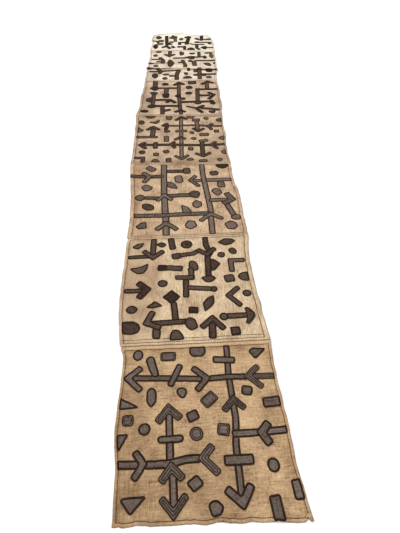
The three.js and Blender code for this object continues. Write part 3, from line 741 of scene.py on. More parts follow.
# %% Lay out panel d
LAYOUT["d"] = [
    strip(29, (-44, 2810), (-48, 2734), (-50, 2548), (-52, 2362), (-53, 2225), dye=0.3, tone=0.35),
    head(27, (-43, 2832), (-94, 2762), (4, 2776), dye=0.9),
    head(25, (-53, 2190), (-102, 2255), (-2, 2258), dye=0.7),
    block(-49, 2594, 90, 29, lay=1, tone=0.9),
    head(28, (-56, 2525), (-104, 2464), (-16, 2476), dye=0.7),
    strip(25, (-160, 2681), (-53, 2678), (89, 2666), (292, 2655), tone=0.8),
    cut((-205, 2684), (-166, 2728), (-148, 2720), (-146, 2650), (-158, 2613), (-182, 2618), (-172, 2662),
        dye=0.8, tone=0.1, lay=1),
    cut((-186, 2594), (-175, 2613), (-140, 2616), (-131, 2595), (-150, 2575), (-175, 2577), dye=0.6,
        tone=0.9),
    head(29, (148, 2655), (201, 2698), (190, 2602), dye=0.7, tone=0.2),
    block(72, 2760, 64, 44, lay=1, tone=0.9),
    strip(34, (77, 2755), (78, 2604), dye=0.35, tone=0.6),
    head(27, (78, 2566), (41, 2634), (132, 2624), dye=0.8),
    strip(30, (-352, 2408), (-115, 2402), (-53, 2393), (96, 2384), (290, 2386), dye=0.75),
    head(29, (-378, 2408), (-318, 2444), (-309, 2354), dye=0.8),
    block(-243, 2397, 30, 90, lay=1, dye=0.7, tone=0.9),
    head(27, (-145, 2410), (-98, 2444), (-96, 2352), dye=0.85),
    head(27, (153, 2390), (208, 2428), (214, 2328), dye=0.8),
    block(113, 2444, 66, 34, 14, lay=1, dye=0.6),
    strip(33, (103, 2440), (99, 2250), dye=0.7),
    head(27, (102, 2220), (46, 2278), (156, 2282), dye=0.8),
    head(28, (-265, 2686), (-316, 2622), (-214, 2620), dye=0.75),
    strip(40, (-264, 2660), (-268, 2515), dye=0.6, tone=0.1),
    strip(30, (-390, 2520), (-228, 2514), dye=0.65, tone=0.2, past=8),
    half_disc(-291, 2828, 90, 46, 180, dye=0.8, tone=0.8),
    disc(-360, 2744, 46, 66, dye=0.7, tone=0.2),
    cut((-304, 2745), (-252, 2754), (-216, 2776), (-222, 2738), (-240, 2714), (-281, 2728), dye=0.6,
        tone=0.1),
    cut((-168, 2838), (-168, 2792), (-150, 2770), (-125, 2774), (-117, 2798), (-117, 2838), tone=0.2),
    half_disc(32, 2814, 76, 50, 180, dye=0.6, tone=0.2),
    disc(154, 2781, 42, tone=1.0),
    half_disc(256, 2751, 62, 52, 90, dye=0.6, tone=0.0),
    cut((-382, 2658), (-334, 2620), (-382, 2582), dye=0.7, past=4),
    disc(32, 2564, 36, 42, dye=0.6, tone=0.9),
    block(124, 2532, 70, 37, 3, tone=0.9),
    block(223, 2578, 38, 46, -4, tone=0.8),
    half_disc(256, 2477, 62, 50, 90, tone=1.0),
    disc(43, 2480, 41, dye=0.5, tone=0.0),
    block(-163, 2486, 35, 82, 2, tone=1.0),
    disc(-337, 2310, 48, 50, dye=0.85),
    disc(-164, 2311, 48, 46, tone=0.2),
    block(-236, 2276, 37, 40, 5, tone=0.9),
    block(15, 2340, 36, 43, -5, tone=0.3),
    half_disc(256, 2284, 60, 46, 90, tone=0.9),
    strip(29, (-392, 2238), (-327, 2238), (-329, 2176), dye=0.75, past=8),
    half_disc(-239, 2190, 62, 54, 0, dye=0.6, tone=0.9),
    block(-146, 2198, 36, 56, 2, tone=0.9),
    half_disc(6, 2204, 52, 30, 0, dye=0.6),
    block(96, 2178, 58, 28, 0, lay=1, dye=0.6),
    disc(215, 2188, 38, tone=0.1, dye=0.4),
]
print("patches on panel d:", len(LAYOUT["d"]))

# %% [markdown]
# The fifth panel is the darkest. Its figures join into one tree of strips that fills it from side to
# side, with a tall arrow up the middle.

# %% Lay out panel e
LAYOUT["e"] = [
    strip(33, (-53, 3470), (-56, 3228), (-53, 3042), (-44, 2862), dye=0.4, tone=0.35),
    head(35, (-54, 3490), (-101, 3406), (-3, 3420), dye=0.8),
    cut((-96, 3184), (-66, 3224), (-42, 3228), (-42, 3160), (-72, 3162), lay=1, dye=0.8),
    disc(-20, 3140, 40, 46, lay=1, dye=0.7),
    head(29, (-46, 2950), (-98, 2900), (-6, 2900), dye=0.85),
    strip(45, (-266, 3512), (-268, 3340), dye=0.55, tone=0.5),
    cut((-315, 3352), (-288, 3388), (-242, 3388), (-238, 3330), (-262, 3304), (-286, 3316), lay=1, dye=0.7,
        tone=0.9),
    strip(34, (-250, 3355), (-66, 3352), tone=0.9),
    strip(42, (-165, 3345), (-168, 3230), dye=0.35, tone=1.0),
    cut((-203, 3240), (-138, 3242), (-146, 3166), (-164, 3158), (-192, 3166), lay=1, dye=0.9),
    cut((-312, 3272), (-275, 3286), (-236, 3264), (-256, 3226), (-292, 3224), lay=1, dye=0.6, tone=0.1),
    strip(36, (-273, 3240), (-283, 3010), dye=0.45, tone=0.6),
    half_disc(-313, 3130, 90, 56, 90, lay=1, dye=0.6, tone=0.9),
    strip(33, (-262, 3126), (-128, 3124), dye=0.7),
    head(34, (-122, 3144), (-169, 3072), (-87, 3056), dye=0.8),
    disc(-288, 3012, 74, 60, lay=1, dye=0.85),
    strip(34, (-262, 3018), (-56, 3005), dye=0.7, tone=0.1),
    strip(36, (-198, 3010), (-196, 2870), dye=0.55, tone=0.6),
    strip(34, (-188, 2926), (-130, 2946), dye=0.35, tone=0.8),
    disc(-345, 2930, 68, 48, dye=1.0),
    disc(-175, 3436, 62, 56, dye=1.0),
    block(69, 3464, 74, 80, 3, dye=0.6, tone=0.9),
    strip(36, (204, 3470), (198, 3316), dye=0.2),
    head(33, (207, 3494), (150, 3414), (268, 3436), dye=0.7),
    strip(32, (120, 3316), (300, 3312), dye=0.8),
    disc(39, 3360, 60, 66, dye=0.8),
    disc(31, 3240, 64, 62, dye=0.8, tone=0.1),
    strip(36, (111, 3330), (102, 3045), dye=0.45, tone=0.8),
    cut((92, 3336), (140, 3336), (144, 3300), (96, 3290), lay=1, dye=0.6, tone=0.8),
    disc(102, 3054, 58, 48, lay=1, dye=0.5),
    strip(33, (118, 3194), (215, 3194), dye=0.8),
    head(31, (270, 3206), (199, 3250), (196, 3118), dye=0.9),
    strip(37, (-40, 3078), (215, 3078), dye=0.8),
    cut((203, 3104), (232, 3104), (254, 3046), (236, 3018), (210, 3036), lay=1, dye=0.85),
    cut((0, 2996), (10, 3004), (82, 2974), (76, 2950), dye=0.7, rounding=3),
    head(30, (64, 2962), (154, 3008), (134, 2880), dye=0.9),
    strip(35, (120, 2962), (276, 2926), dye=0.6, tone=0.9),
    half_disc(213, 2890, 58, 44, 180, dye=0.8),
]
print("patches on panel e:", len(LAYOUT["e"]))

# %% [markdown]
# The last two panels are the palest, and their patches are looser: separate arrows, lozenges and
# crooked strips. The seventh is shorter, with its far end rounded off.

# %% Lay out panels f and g
LAYOUT["f"] = [
    half_disc(-248, 4214, 66, 48, 180, tone=0.1),
    leaf(-280, 4122, 70, 46, 90, tone=0.2),
    strip(37, (-130, 4240), (-136, 4098), tone=0.7),
    head(36, (-139, 4066), (-188, 4154), (-82, 4150)),
    half_disc(-8, 4167, 112, 46, -90, tone=0.2),
    half_disc(98, 4158, 66, 46, 180, dye=0.85, tone=0.2),
    strip(32, (168, 4200), (165, 4065), tone=0.2),
    strip(32, (20, 4058), (84, 4060), (238, 4066), dye=0.7),
    cut((44, 4088), (118, 4092), (120, 4030), (94, 4000), (48, 4028), lay=1, dye=0.7, tone=0.8),
    leaf(221, 4052, 84, 38, 90, lay=1, dye=0.7),
    strip(36, (-100, 4044), (30, 4046), dye=0.2),
    strip(36, (226, 4156), (306, 4170), dye=0.6, tone=0.3),
    leaf(290, 4090, 126, 38, 90, dye=0.2, tone=0.2),
    strip(26, (-318, 4021), (-225, 4018), dye=0.8),
    head(38, (-180, 3994), (-236, 4064), (-204, 3912), tone=0.8),
    block(-240, 3962, 54, 38, 10, tone=0.8, dye=0.6),
    cut((-131, 4014), (-112, 3985), (-87, 3915), (-110, 3850), (-131, 3816), (-150, 3850), (-157, 3915),
        (-148, 3985), dye=0.7, tone=0.1),
    strip(32, (-52, 3930), (14, 3930), dye=0.9),
    strip(36, (-6, 3996), (2, 3935), (19, 3870), (12, 3796), tone=0.8),
    disc(71, 3964, 44, 62, tone=0.7),
    strip(44, (107, 3962), (112, 3838), tone=0.9),
    strip(30, (115, 3972), (320, 3962), dye=0.7),
    cut((196, 3896), (230, 3912), (258, 3904), (274, 3860), (262, 3826), (222, 3852), lay=1, dye=0.6),
    disc(306, 3893, 28, 36, tone=0.2),
    leaf(-270, 3857, 64, 48, 90, dye=0.3),
    strip(32, (-330, 3724), (-232, 3722), dye=0.8),
    strip(30, (-225, 3728), (-60, 3742), dye=0.45),
    head(38, (-192, 3724), (-258, 3784), (-236, 3668), dye=0.6, tone=0.8),
    leaf(-274, 3627, 118, 58, 90, dye=0.8),
    leaf(-171, 3649, 66, 40, 0, tone=0.1),
    disc(-180, 3564, 50, 56, dye=0.6, tone=0.8),
    strip(40, (-42, 3756), (-60, 3690), (-70, 3620), (-70, 3526), tone=0.3),
    strip(35, (-142, 3614), (-78, 3618), dye=0.6, tone=0.8),
    leaf(47, 3744, 62, 30, 90, tone=0.1),
    cut((-2, 3686), (38, 3688), (34, 3640), (18, 3624), (2, 3650), dye=0.6),
    half_disc(32, 3578, 88, 54, 0, dye=0.8),
    strip(40, (152, 3798), (144, 3530), tone=0.4),
    block(112, 3714, 36, 52, 0, dye=0.5),
    block(112, 3626, 44, 40, 0, dye=0.7),
    strip(33, (150, 3640), (310, 3636), dye=0.6),
    cut((166, 3636), (218, 3630), (196, 3592), (168, 3600), dye=0.8),
    cut((205, 3728), (222, 3754), (262, 3752), (278, 3700), (258, 3684), (222, 3684), dye=1.1, tone=0.1),
    cut((208, 3592), (240, 3600), (260, 3566), (246, 3542), (208, 3548), tone=0.4),
]
LAYOUT["g"] = [
    leaf(-253, 4640, 88, 64, 90, dye=0.7),
    strip(28, (-325, 4550), (-268, 4522), (-258, 4470), dye=0.8),
    block(-227, 4534, 54, 52, 6, lay=1, dye=0.8, tone=0.2),
    block(-235, 4450, 62, 58, 8, dye=0.0, tone=0.6),
    leaf(-284, 4376, 144, 50, 90, dye=1.1),
    strip(36, (-168, 4692), (-164, 4410), dye=0.8),
    cut((-160, 4480), (-138, 4478), (-95, 4420), (-160, 4410), lay=1, dye=0.9),
    head(36, (-164, 4424), (-216, 4336), (-130, 4302), dye=0.75),
    cut((-141, 4640), (-118, 4656), (-100, 4714), (-72, 4676), (-50, 4670), (-50, 4598), (-100, 4588),
        (-138, 4610), dye=0.7),
    strip(34, (-76, 4615), (-70, 4500), dye=0.1, tone=0.6),
    cut((-140, 4520), (-90, 4516), (-96, 4470), (-132, 4476), dye=0.0, tone=0.3),
    strip(36, (-112, 4374), (-86, 4320), dye=0.8),
    disc(-6, 4582, 44, 78, tone=-0.3, dye=0.2),
    strip(34, (48, 4478), (-26, 4478), (-28, 4410), dye=0.9),
    cut((30, 4652), (64, 4660), (72, 4676), (102, 4650), (104, 4608), (30, 4608), lay=1, dye=0.9),
    strip(40, (77, 4620), (46, 4416), dye=0.85),
    strip(38, (-55, 4354), (10, 4352), dye=0.7),
    strip(31, (24, 4376), (24, 4260), dye=0.7),
    half_disc(90, 4292, 86, 72, 0, dye=1.0),
    strip(24, (77, 4447), (127, 4406), dye=0.2),
    strip(27, (120, 4408), (240, 4410), dye=0.6),
    block(161, 4475, 50, 44, 0, lay=1, dye=0.8),
    strip(31, (178, 4468), (300, 4466), dye=0.0),
    block(298, 4447, 36, 68, 0, lay=1, dye=0.8),
    strip(37, (222, 4666), (215, 4545), dye=0.9),
    strip(31, (166, 4556), (318, 4554), dye=0.6),
    disc(213, 4532, 34, 30, dye=0.8),
    block(164, 4584, 42, 44, 0, tone=0.0),
    strip(34, (158, 4416), (153, 4318), (180, 4258), dye=0.7),
    strip(28, (328, 4313), (215, 4315), dye=0.8),
    cut((188, 4317), (232, 4362), (262, 4356), (250, 4316), (252, 4272), (230, 4270), dye=0.9),
]
print("patches in all:", sum(len(pieces) for pieces in LAYOUT.values()))

# %% [markdown]
# From its kind and size, each patch gets an outline: a strip's two sides are set off from its line and
# mitred at the bends, then every corner is rounded a little, because a turned-under corner of raffia
# can't be sharp. The outline is read at even steps, and pushed in and out by a slow noise of about a
# millimetre, as scissors leave it. What would run past the hem is tucked in at the stitch line.

# %% Draw the outlines
OUTLINE_STEP = 3.6
SNIP_SIZE = 21
SNIP_DEPTH = 1.6
SHARPEST_MITRE = 0.42
LONGEST_ROUND = 0.45


def strip_sides(piece, inset):
    """The corners of a strip, with its sides and ends set in by an inset."""
    line = [Vector(point) for point in piece["line"]]
    reach = piece["width"] / 2 - inset
    line[0] += (line[1] - line[0]).normalized() * inset
    line[-1] += (line[-2] - line[-1]).normalized() * inset
    one_side, other_side = [], []
    for i, point in enumerate(line):
        into = (point - line[i - 1]).normalized() if i else (line[1] - line[0]).normalized()
        out = (line[i + 1] - point).normalized() if i < len(line) - 1 else into
        normal = Vector((-into.y - out.y, into.x + out.x)).normalized()
        mitre = reach / max(SHARPEST_MITRE, normal.dot(Vector((-out.y, out.x))))
        one_side.append(point + normal * mitre)
        other_side.append(point - normal * mitre)
    return one_side + other_side[::-1]


def corners_of(piece, inset=0):
    if piece["kind"] == "strip":
        return strip_sides(piece, inset)
    corners = [Vector(corner) for corner in piece["corners"]]
    middle = sum(corners, Vector((0, 0))) / len(corners)
    size = sum((corner - middle).length for corner in corners) / len(corners)
    return [middle + (corner - middle) * (1 - inset / size) for corner in corners]


def rounded(corners, radius):
    """The corners with each one replaced by three points of a short curve."""
    points = []
    for i, corner in enumerate(corners):
        before, after = corners[i - 1] - corner, corners[(i + 1) % len(corners)] - corner
        back = min(radius, before.length * LONGEST_ROUND)
        ahead = min(radius, after.length * LONGEST_ROUND)
        start, end = corner + before.normalized() * back, corner + after.normalized() * ahead
        points += [start, (start + end + 2 * corner) / 4, end]
    return points


def even_steps(points, step):
    """Points at even steps round a closed outline."""
    lengths = [(points[(i + 1) % len(points)] - point).length for i, point in enumerate(points)]
    total = sum(lengths)
    count = max(8, round(total / step))
    stepped, at, passed = [], 0, 0
    for i in range(count):
        goal = total * i / count
        while passed + lengths[at] < goal:
            passed += lengths[at]
            at += 1
        share = (goal - passed) / max(lengths[at], 1e-6)
        stepped.append(points[at].lerp(points[(at + 1) % len(points)], share))
    return stepped


def tucked_in(panel, point, past):
    """The point, moved inside the panel's stitch lines if it lies more than a little past them."""
    across_share, along_share = shares_at(panel, *point)
    left, right, near, far = stitch_shares(panel)
    side, end = past / width_of(panel), past / length_of(panel)
    inside_across = min(max(across_share, left - side), right + side)
    inside_along = min(max(along_share, near - end), far + end)
    if (inside_across, inside_along) == (across_share, along_share):
        return point
    return Vector(place_on(panel, inside_across, inside_along))


def outline_of(panel, piece, inset=0):
    rounding = piece.get("rounding", CORNER_ROUND)
    points = even_steps(rounded(corners_of(piece, inset), rounding), OUTLINE_STEP)
    middle = sum(points, Vector((0, 0))) / len(points)
    snipped = []
    for point in points:
        push = SNIP_DEPTH * noise.noise(Vector((point.x, point.y, 7 * piece["lay"])) / SNIP_SIZE)
        snipped.append(tucked_in(panel, point + (point - middle).normalized() * push, piece["past"]))
    return snipped


OUTLINES = {panel: [outline_of(panel, piece) for piece in LAYOUT[panel]] for panel in PANELS}
print("outline points of the first strip:", len(OUTLINES["a"][0]))

# %% [markdown]
# A patch is filled as one face, ruled by cuts a centimetre or so apart so that it can bend over the
# cloth's folds, and extruded down to its underside. Its UV map turns with it, because a strip is cut
# along its own threads. Where two pieces cross, the later one lies a hair higher, so it covers the other.

# %% Fill the patches
RULING = 14
LAY_TOPS = (1.05, 1.75, 2.45)
LAY_THICKNESS = 0.75
HAIR = 0.014
random.seed(7)


def top_of(panel, piece):
    """How far a patch's upper face lies over the cloth."""
    return LAY_TOPS[piece["lay"]] + HAIR * LAYOUT[panel].index(piece)


def grain_of(piece):
    """The direction of a patch's threads: along a strip, or along a cut piece's first side."""
    points = piece.get("line") or piece["corners"]
    run = Vector(points[1]) - Vector(points[0])
    return math.atan2(run.y, run.x)


def patch_mesh(panel, piece, outline):
    """One patch as a mesh of its own."""
    bm = bmesh.new()
    bm.faces.new([bm.verts.new((point.x, point.y, 0)) for point in outline])
    for axis in (0, 1):
        low = min(point[axis] for point in outline)
        high = max(point[axis] for point in outline)
        normal = Vector((1 - axis, axis, 0))
        for i in range(1, math.ceil((high - low) / RULING)):
            everything = bm.verts[:] + bm.edges[:] + bm.faces[:]
            bmesh.ops.bisect_plane(bm, geom=everything, plane_co=normal * (low + RULING * i), plane_no=normal)
    bmesh.ops.triangulate(bm, faces=bm.faces[:], ngon_method="EAR_CLIP")
    bmesh.ops.remove_doubles(bm, verts=bm.verts, dist=0.05)
    dye_layer, tone_layer, across_layer, along_layer = point_layers(bm, "dye", "tone", "across", "along")
    turn = grain_of(piece)
    dye = piece["dye"] + random.uniform(-0.1, 0.1)
    tone = piece["tone"] + random.uniform(-0.25, 0.25)
    top = top_of(panel, piece)
    for vert in bm.verts:
        x, y = vert.co.x, vert.co.y
        vert[dye_layer] = dye
        vert[tone_layer] = tone
        vert[across_layer] = x * math.cos(turn) + y * math.sin(turn)
        vert[along_layer] = y * math.cos(turn) - x * math.sin(turn)
        vert.co = in_metres(x, y, cloth_top(panel, x, y) + top)
    for vert in new_underside(bm):
        vert.co.z -= LAY_THICKNESS / 1000
    bmesh.ops.recalc_face_normals(bm, faces=bm.faces)
    map_cloth(bm, lambda vert: (vert[across_layer] / 1000, vert[along_layer] / 1000))
    mesh = bpy.data.meshes.new("patch")
    bm.to_mesh(mesh)
    bm.free()
    return mesh


def laid_patches(panel):
    """All the patches of a panel, joined in one piece."""
    bm = bmesh.new()
    for piece, outline in zip(LAYOUT[panel], OUTLINES[panel]):
        mesh = patch_mesh(panel, piece, outline)
        bm.from_mesh(mesh)
        bpy.data.meshes.remove(mesh)
    patches = finished_object("raffia_patches_" + panel, bm)
    patches.data.shade_flat()
    return patches


patch_pieces = {panel: laid_patches(panel) for panel in PANELS}
print("patch faces:", sum(len(piece.data.polygons) for piece in patch_pieces.values()))

# %% [markdown]
# Every patch is held down and edged by a dense band of dark thread, whose stitches lie side by side. It
# is a low cord with a flat oval section, drawn as a curve whose radius swells at every stitch, then
# turned into a mesh. It runs just inside the patch's edge, and stops where another patch covers it.

# %% Sew the patch edges
BAND_WIDTH = 8
BAND_HEIGHT = 1.8
BAND_SIDES = 6
BAND_INSET = 2.5
RINGS = [(BAND_INSET - 1.2, 0.66), (9.3, 0.42)]
BAND_LIFT = 0.15
PINCH = 0.86


def band_section():
    """The closed flat oval that the thread curves are swept with."""
    data = bpy.data.curves.new("band_section", "CURVE")
    spline = data.splines.new("POLY")
    spline.points.add(BAND_SIDES - 1)
    for i, point in enumerate(spline.points):
        angle = 2 * math.pi * i / BAND_SIDES
        point.co = (BAND_WIDTH / 2 * math.cos(angle) / 1000, BAND_HEIGHT / 2 * math.sin(angle) / 1000, 0, 1)
    spline.use_cyclic_u = True
    section = bpy.data.objects.new("band_section", data)
    bpy.context.scene.collection.objects.link(section)
    return section


def add_thread(data, points, radii, closed=False):
    spline = data.splines.new("POLY")
    spline.points.add(len(points) - 1)
    for point, place, radius in zip(spline.points, points, radii):
        point.co = (*place, 1)
        point.radius = radius
    spline.use_cyclic_u = closed


def lies_in(point, outline):
    """Whether a point lies inside a closed outline, by counting the sides to its right."""
    inside = False
    for i, corner in enumerate(outline):
        other = outline[i - 1]
        if (corner.y > point.y) != (other.y > point.y):
            crossing = other.x + (corner.x - other.x) * (point.y - other.y) / (corner.y - other.y)
            inside ^= point.x < crossing
    return inside


def open_runs(points, hidden):
    """The stretches of a closed line that aren't hidden."""
    if not any(hidden):
        return [points + points[:1]]
    first = hidden.index(True)
    order = [(first + i) % len(points) for i in range(len(points))]
    runs, run = [], []
    for i in order:
        if hidden[i]:
            runs.append(run)
            run = []
        else:
            run.append(points[i])
    return [run for run in runs + [run] if len(run) > 1]


def covers_of(panel, index):
    """The outlines of the patches that lie over a patch."""
    piece = LAYOUT[panel][index]
    over = []
    for other, outline in zip(LAYOUT[panel][index + 1:], OUTLINES[panel][index + 1:]):
        if other["lay"] >= piece["lay"]:
            over.append(outline)
    for other, outline in zip(LAYOUT[panel][:index], OUTLINES[panel][:index]):
        if other["lay"] > piece["lay"]:
            over.append(outline)
    return over


def edge_patches(panel, data):
    for index, piece in enumerate(LAYOUT[panel]):
        covers = covers_of(panel, index)
        for inset, size in RINGS if piece["ringed"] else [(BAND_INSET, 1)]:
            line = outline_of(panel, piece, inset)
            hidden = [any(lies_in(point, cover) for cover in covers) for point in line]
            height = top_of(panel, piece) + BAND_LIFT
            for run in open_runs(line, hidden):
                points = [in_metres(x, y, cloth_top(panel, x, y) + height) for x, y in run]
                radii = [size * (1 if i % 2 else PINCH) for i in range(len(points))]
                add_thread(data, points, radii)


# %% [markdown]
# The hems are held by a running stitch, whose long stitches nearly touch. Along each join between
# panels runs a row of brown stitch that is painted shadow, a dark line in place of the shadow in the
# groove, with slanted stitches over it, and the two outer edges and the free ends are whipped over with
# undyed raffia, which draws the hem into small puffs.

# %% Sew hems and joins
RUNNING = {"pitch": 8.5, "thick": 0.4, "thin": 0.18}
END_ROWS = 0.9
JOIN_SHADOW_LINE_SIZE = 1.1
SECOND_ROWS = {"b": 32}
NOTCH_START = 0.15
JOINING = {"pitch": 11, "reach": 6, "slant": 2.5, "radius": 0.26}
WHIPPING = {"pitch": 10.5, "reach": 8, "slant": 4, "radius": 0.24}
WHIP_DROP = 0.9
JOIN_DROP = 0.1
SLANT_RISE = 0.0008


def running_line(panel, data, place_at, length, size=1):
    """A row of running stitch. place_at gives the place across and along at a distance on the line.

    The stitches nearly touch, so the row is one thread that is thick on each stitch and thin between:
    it dips into the cloth at the start of a stitch and lies on it from a quarter to four fifths along.
    """
    count = int(length / RUNNING["pitch"])
    points, radii = [], []
    for i in range(count):
        start = i * RUNNING["pitch"] + random.uniform(-0.6, 0.6)
        stitch = RUNNING["thick"] * random.uniform(0.75, 1.2)
        for share, height, radius in ((0, -0.2, RUNNING["thin"]), (0.25, 0.3, stitch), (0.8, 0.3, stitch)):
            across, along = place_at(min(max(start + RUNNING["pitch"] * share, 0), length))
            points.append(in_metres(across, along, cloth_top(panel, across, along) + height))
            radii.append(radius * size)
    add_thread(data, points, radii)


def stitch_hems(panel, data):
    width, length = width_of(panel), length_of(panel)
    left, right, near, far = stitch_shares(panel)
    tall, wide = length * (far - near), width * (right - left)
    notched = panel == PANELS[0]
    start = NOTCH_START * near if notched else near
    tall_right = length * (far - start)

    def near_row(run):
        across, along = place_on(panel, left + run / width, near)
        return across, along - (notch_at(across) if notched else 0)

    running_line(panel, data, lambda run: place_on(panel, left, near + run / length), tall)
    running_line(panel, data, lambda run: place_on(panel, right, start + run / length), tall_right)
    running_line(panel, data, near_row, wide, END_ROWS)
    running_line(panel, data, lambda run: place_on(panel, left + run / width, far), wide, END_ROWS)
    if panel in SECOND_ROWS:
        row = SECOND_ROWS[panel] / length
        running_line(panel, data, lambda run: place_on(panel, left + run / width, row), wide)


def slanted(panel, data, inner, outer, radius, drop):
    """One stitch from a place inside the panel to a place at or over its edge, where it drops."""
    start = in_metres(*inner, cloth_top(panel, *inner) - 0.2)
    end = in_metres(*outer, cloth_top(panel, *outer) - drop)
    middle = (start + end) / 2 + Vector((0, 0, SLANT_RISE))
    radius *= random.uniform(0.8, 1.15)
    add_thread(data, [start, middle, end], (radius * 0.7, radius, radius * 0.8))


def join_to_next(panel, data):
    """A brown line in the groove to the next panel, painted shadow in place of the gap's shadow, and the
    slanted stitches over it.
    """
    following = PANELS[PANELS.index(panel) + 1]
    width = width_of(panel)
    # Painted shadow: a running line along the join, in place of the shadow in the gap.
    running_line(panel, data, lambda run: place_on(panel, run / width, 1), width, JOIN_SHADOW_LINE_SIZE)
    for i in range(1, int(width / JOINING["pitch"])):
        across, join = place_on(panel, i * JOINING["pitch"] / width, 1)
        for owner, side in ((panel, -1), (following, 1)):
            reach = JOINING["reach"] * random.uniform(0.6, 1.5)
            inner = (across + side * JOINING["slant"], join + side * reach)
            slanted(owner, data, inner, (across, join + side * GAP), JOINING["radius"], JOIN_DROP)


def whip_edges(panel, data):
    """Slanted stitches over the outer edges."""
    width, length = width_of(panel), length_of(panel)
    reach, slant, pitch = WHIPPING["reach"], WHIPPING["slant"], WHIPPING["pitch"]
    rows = int(length / pitch)
    for i in range(1, rows):
        for edge, inside in ((0, reach / width), (1, 1 - reach / width)):
            outer = place_on(panel, edge, i * pitch / length)
            inner = place_on(panel, inside, (i * pitch + slant) / length)
            slanted(panel, data, inner, outer, WHIPPING["radius"], WHIP_DROP)
    free = {PANELS[0]: (0, reach / length), PANELS[-1]: (1, 1 - reach / length)}
    if panel in free:
        edge, inside = free[panel]
        for i in range(1, int(width / pitch)):
            outer = place_on(panel, i * pitch / width, edge)
            inner = place_on(panel, (i * pitch + slant) / width, inside)
            slanted(panel, data, inner, outer, WHIPPING["radius"], WHIP_DROP)


# %% [markdown]
# On the sixth panel a dark cord lies along the near flank of each storage fold, thick at the two edges
# and thin between: it is painted shade, a dark thing in place of the shade on that flank. The two right
# hand corners have a dark knot each, painted shadow in place of the shadow under the raised seam ends.

# %% Lay the dark cords of painted shade on the ridges
SHADE_CORDS = [
    {"line": [(-360, 3784), (-212, 3777)], "ends": (2.8, 0.0), "middle": 0.9},
    {"line": [(-212, 3777), (-10, 3767), (116, 3741)], "ends": (0.4, 0.7), "middle": 0.3},
    {"line": [(116, 3741), (323, 3729)], "ends": (0.0, 1.6), "middle": 1.6},
    {"line": [(-343, 3914), (-150, 3924)], "ends": (3.0, 0.0), "middle": 0.4},
    {"line": [(300, 3917), (329, 3914)], "ends": (0.5, 0.9), "middle": 0.7},
    {"line": [(286, 3520), (306, 3519)], "ends": (0.0, 2.0), "middle": 0.5},
    {"line": [(316, 4188), (336, 4190)], "ends": (0.0, 2.0), "middle": 0.5},
]
SHADE_CORD_STEP = 9
SHADE_CORD_LIFT = 0.7
SHADE_CORD_REACH = 0.4
SHADE_CORD_TAPER = 1.2
SHADE_CORD_TIP = 0.6


def along_line(line, share):
    """The place at a share of a bent line's length."""
    points = [Vector(point) for point in line]
    lengths = [(end - start).length for start, end in zip(points, points[1:])]
    left = share * sum(lengths)
    for start, end, length in zip(points, points[1:], lengths):
        if left <= length:
            return start.lerp(end, left / length)
        left -= length
    return points[-1]


def place_inside(panel, across, along):
    """The nearest place on the panel itself."""
    across_share, along_share = shares_at(panel, across, along)
    return place_on(panel, min(max(across_share, 0), 1), min(max(along_share, 0), 1))


def lay_shade_cords(data):
    for shade_cord in SHADE_CORDS:
        count = round((Vector(shade_cord["line"][-1]) - Vector(shade_cord["line"][0])).length / SHADE_CORD_STEP)
        points, radii = [], []
        for i in range(count + 1):
            share = i / count
            x, y = along_line(shade_cord["line"], share)
            near_end = shade_cord["ends"][0] * max(0, 1 - share / SHADE_CORD_REACH) ** SHADE_CORD_TAPER
            far_end = shade_cord["ends"][1] * max(0, 1 - (1 - share) / SHADE_CORD_REACH) ** SHADE_CORD_TAPER
            points.append(in_metres(x, y, cloth_top("f", *place_inside("f", x, y)) + SHADE_CORD_LIFT))
            radii.append(shade_cord["middle"] * random.uniform(0.7, 1.2) + near_end + far_end)
        radii[0] *= SHADE_CORD_TIP
        radii[-1] *= SHADE_CORD_TIP
        add_thread(data, points, radii)


# %% [markdown]
# All thread of one colour on a panel is one curve object until it is swept and turned into a mesh.

# %% Sweep the thread
def swept(name, section, *sewers):
    """A mesh object of thread, from functions that add splines to a curve."""
    data = bpy.data.curves.new(name, "CURVE")
    data.dimensions = "3D"
    data.twist_mode = "Z_UP"
    data.bevel_mode = "OBJECT"
    data.bevel_object = section
    data.use_fill_caps = True
    for sewer in sewers:
        sewer(data)
    curve = bpy.data.objects.new(name, data)
    bpy.context.scene.collection.objects.link(curve)
    bpy.context.view_layer.update()
    seen = curve.evaluated_get(bpy.context.evaluated_depsgraph_get())
    bm = bmesh.new()
    bm.from_mesh(seen.to_mesh())
    bpy.data.objects.remove(curve)
    bmesh.ops.remove_doubles(bm, verts=bm.verts, dist=0.00001)
    bmesh.ops.recalc_face_normals(bm, faces=bm.faces)
    return finished_object(name, bm)


def dark_thread(panel, section):
    sewers = [lambda data: edge_patches(panel, data)]
    # On the sixth panel this object also holds the dark cords and knots of painted shade.
    if panel == "f":
        sewers.append(lay_shade_cords)
    return swept("sewn_thread_" + panel, section, *sewers)


def brown_thread(panel, section):
    sewers = [lambda data: stitch_hems(panel, data)]
    if panel != PANELS[-1]:
        # The join adds a running line of painted shadow in the groove, and the slanted stitches over it.
        sewers.append(lambda data: join_to_next(panel, data))
    return swept("stitched_hems_" + panel, section, *sewers)


section = band_section()
thread_pieces = {panel: dark_thread(panel, section) for panel in PANELS}
stitch_pieces = {panel: brown_thread(panel, section) for panel in PANELS}
whipping_pieces = {}
for panel in PANELS:
    whipping_pieces[panel] = swept("whipped_edge_" + panel, section, lambda data: whip_edges(panel, data))
bpy.data.objects.remove(section)
print("thread faces:", [len(piece.data.polygons) for piece in thread_pieces.values()])
print("stitch faces:", [len(piece.data.polygons) for piece in stitch_pieces.values()])
print("whipping faces:", [len(piece.data.polygons) for piece in whipping_pieces.values()])

# %% [markdown]
# At the near right corner the rolled side hem runs on past the end hem as a short tail.

# %% Roll the tail
TAIL = {"at": (337, 5), "length": 26, "thick": 14, "thin": 12, "turn": 10,
        "rim": 2.2, "lift": 2.4, "flat": 0.32, "soil_and_shade": 0.2}


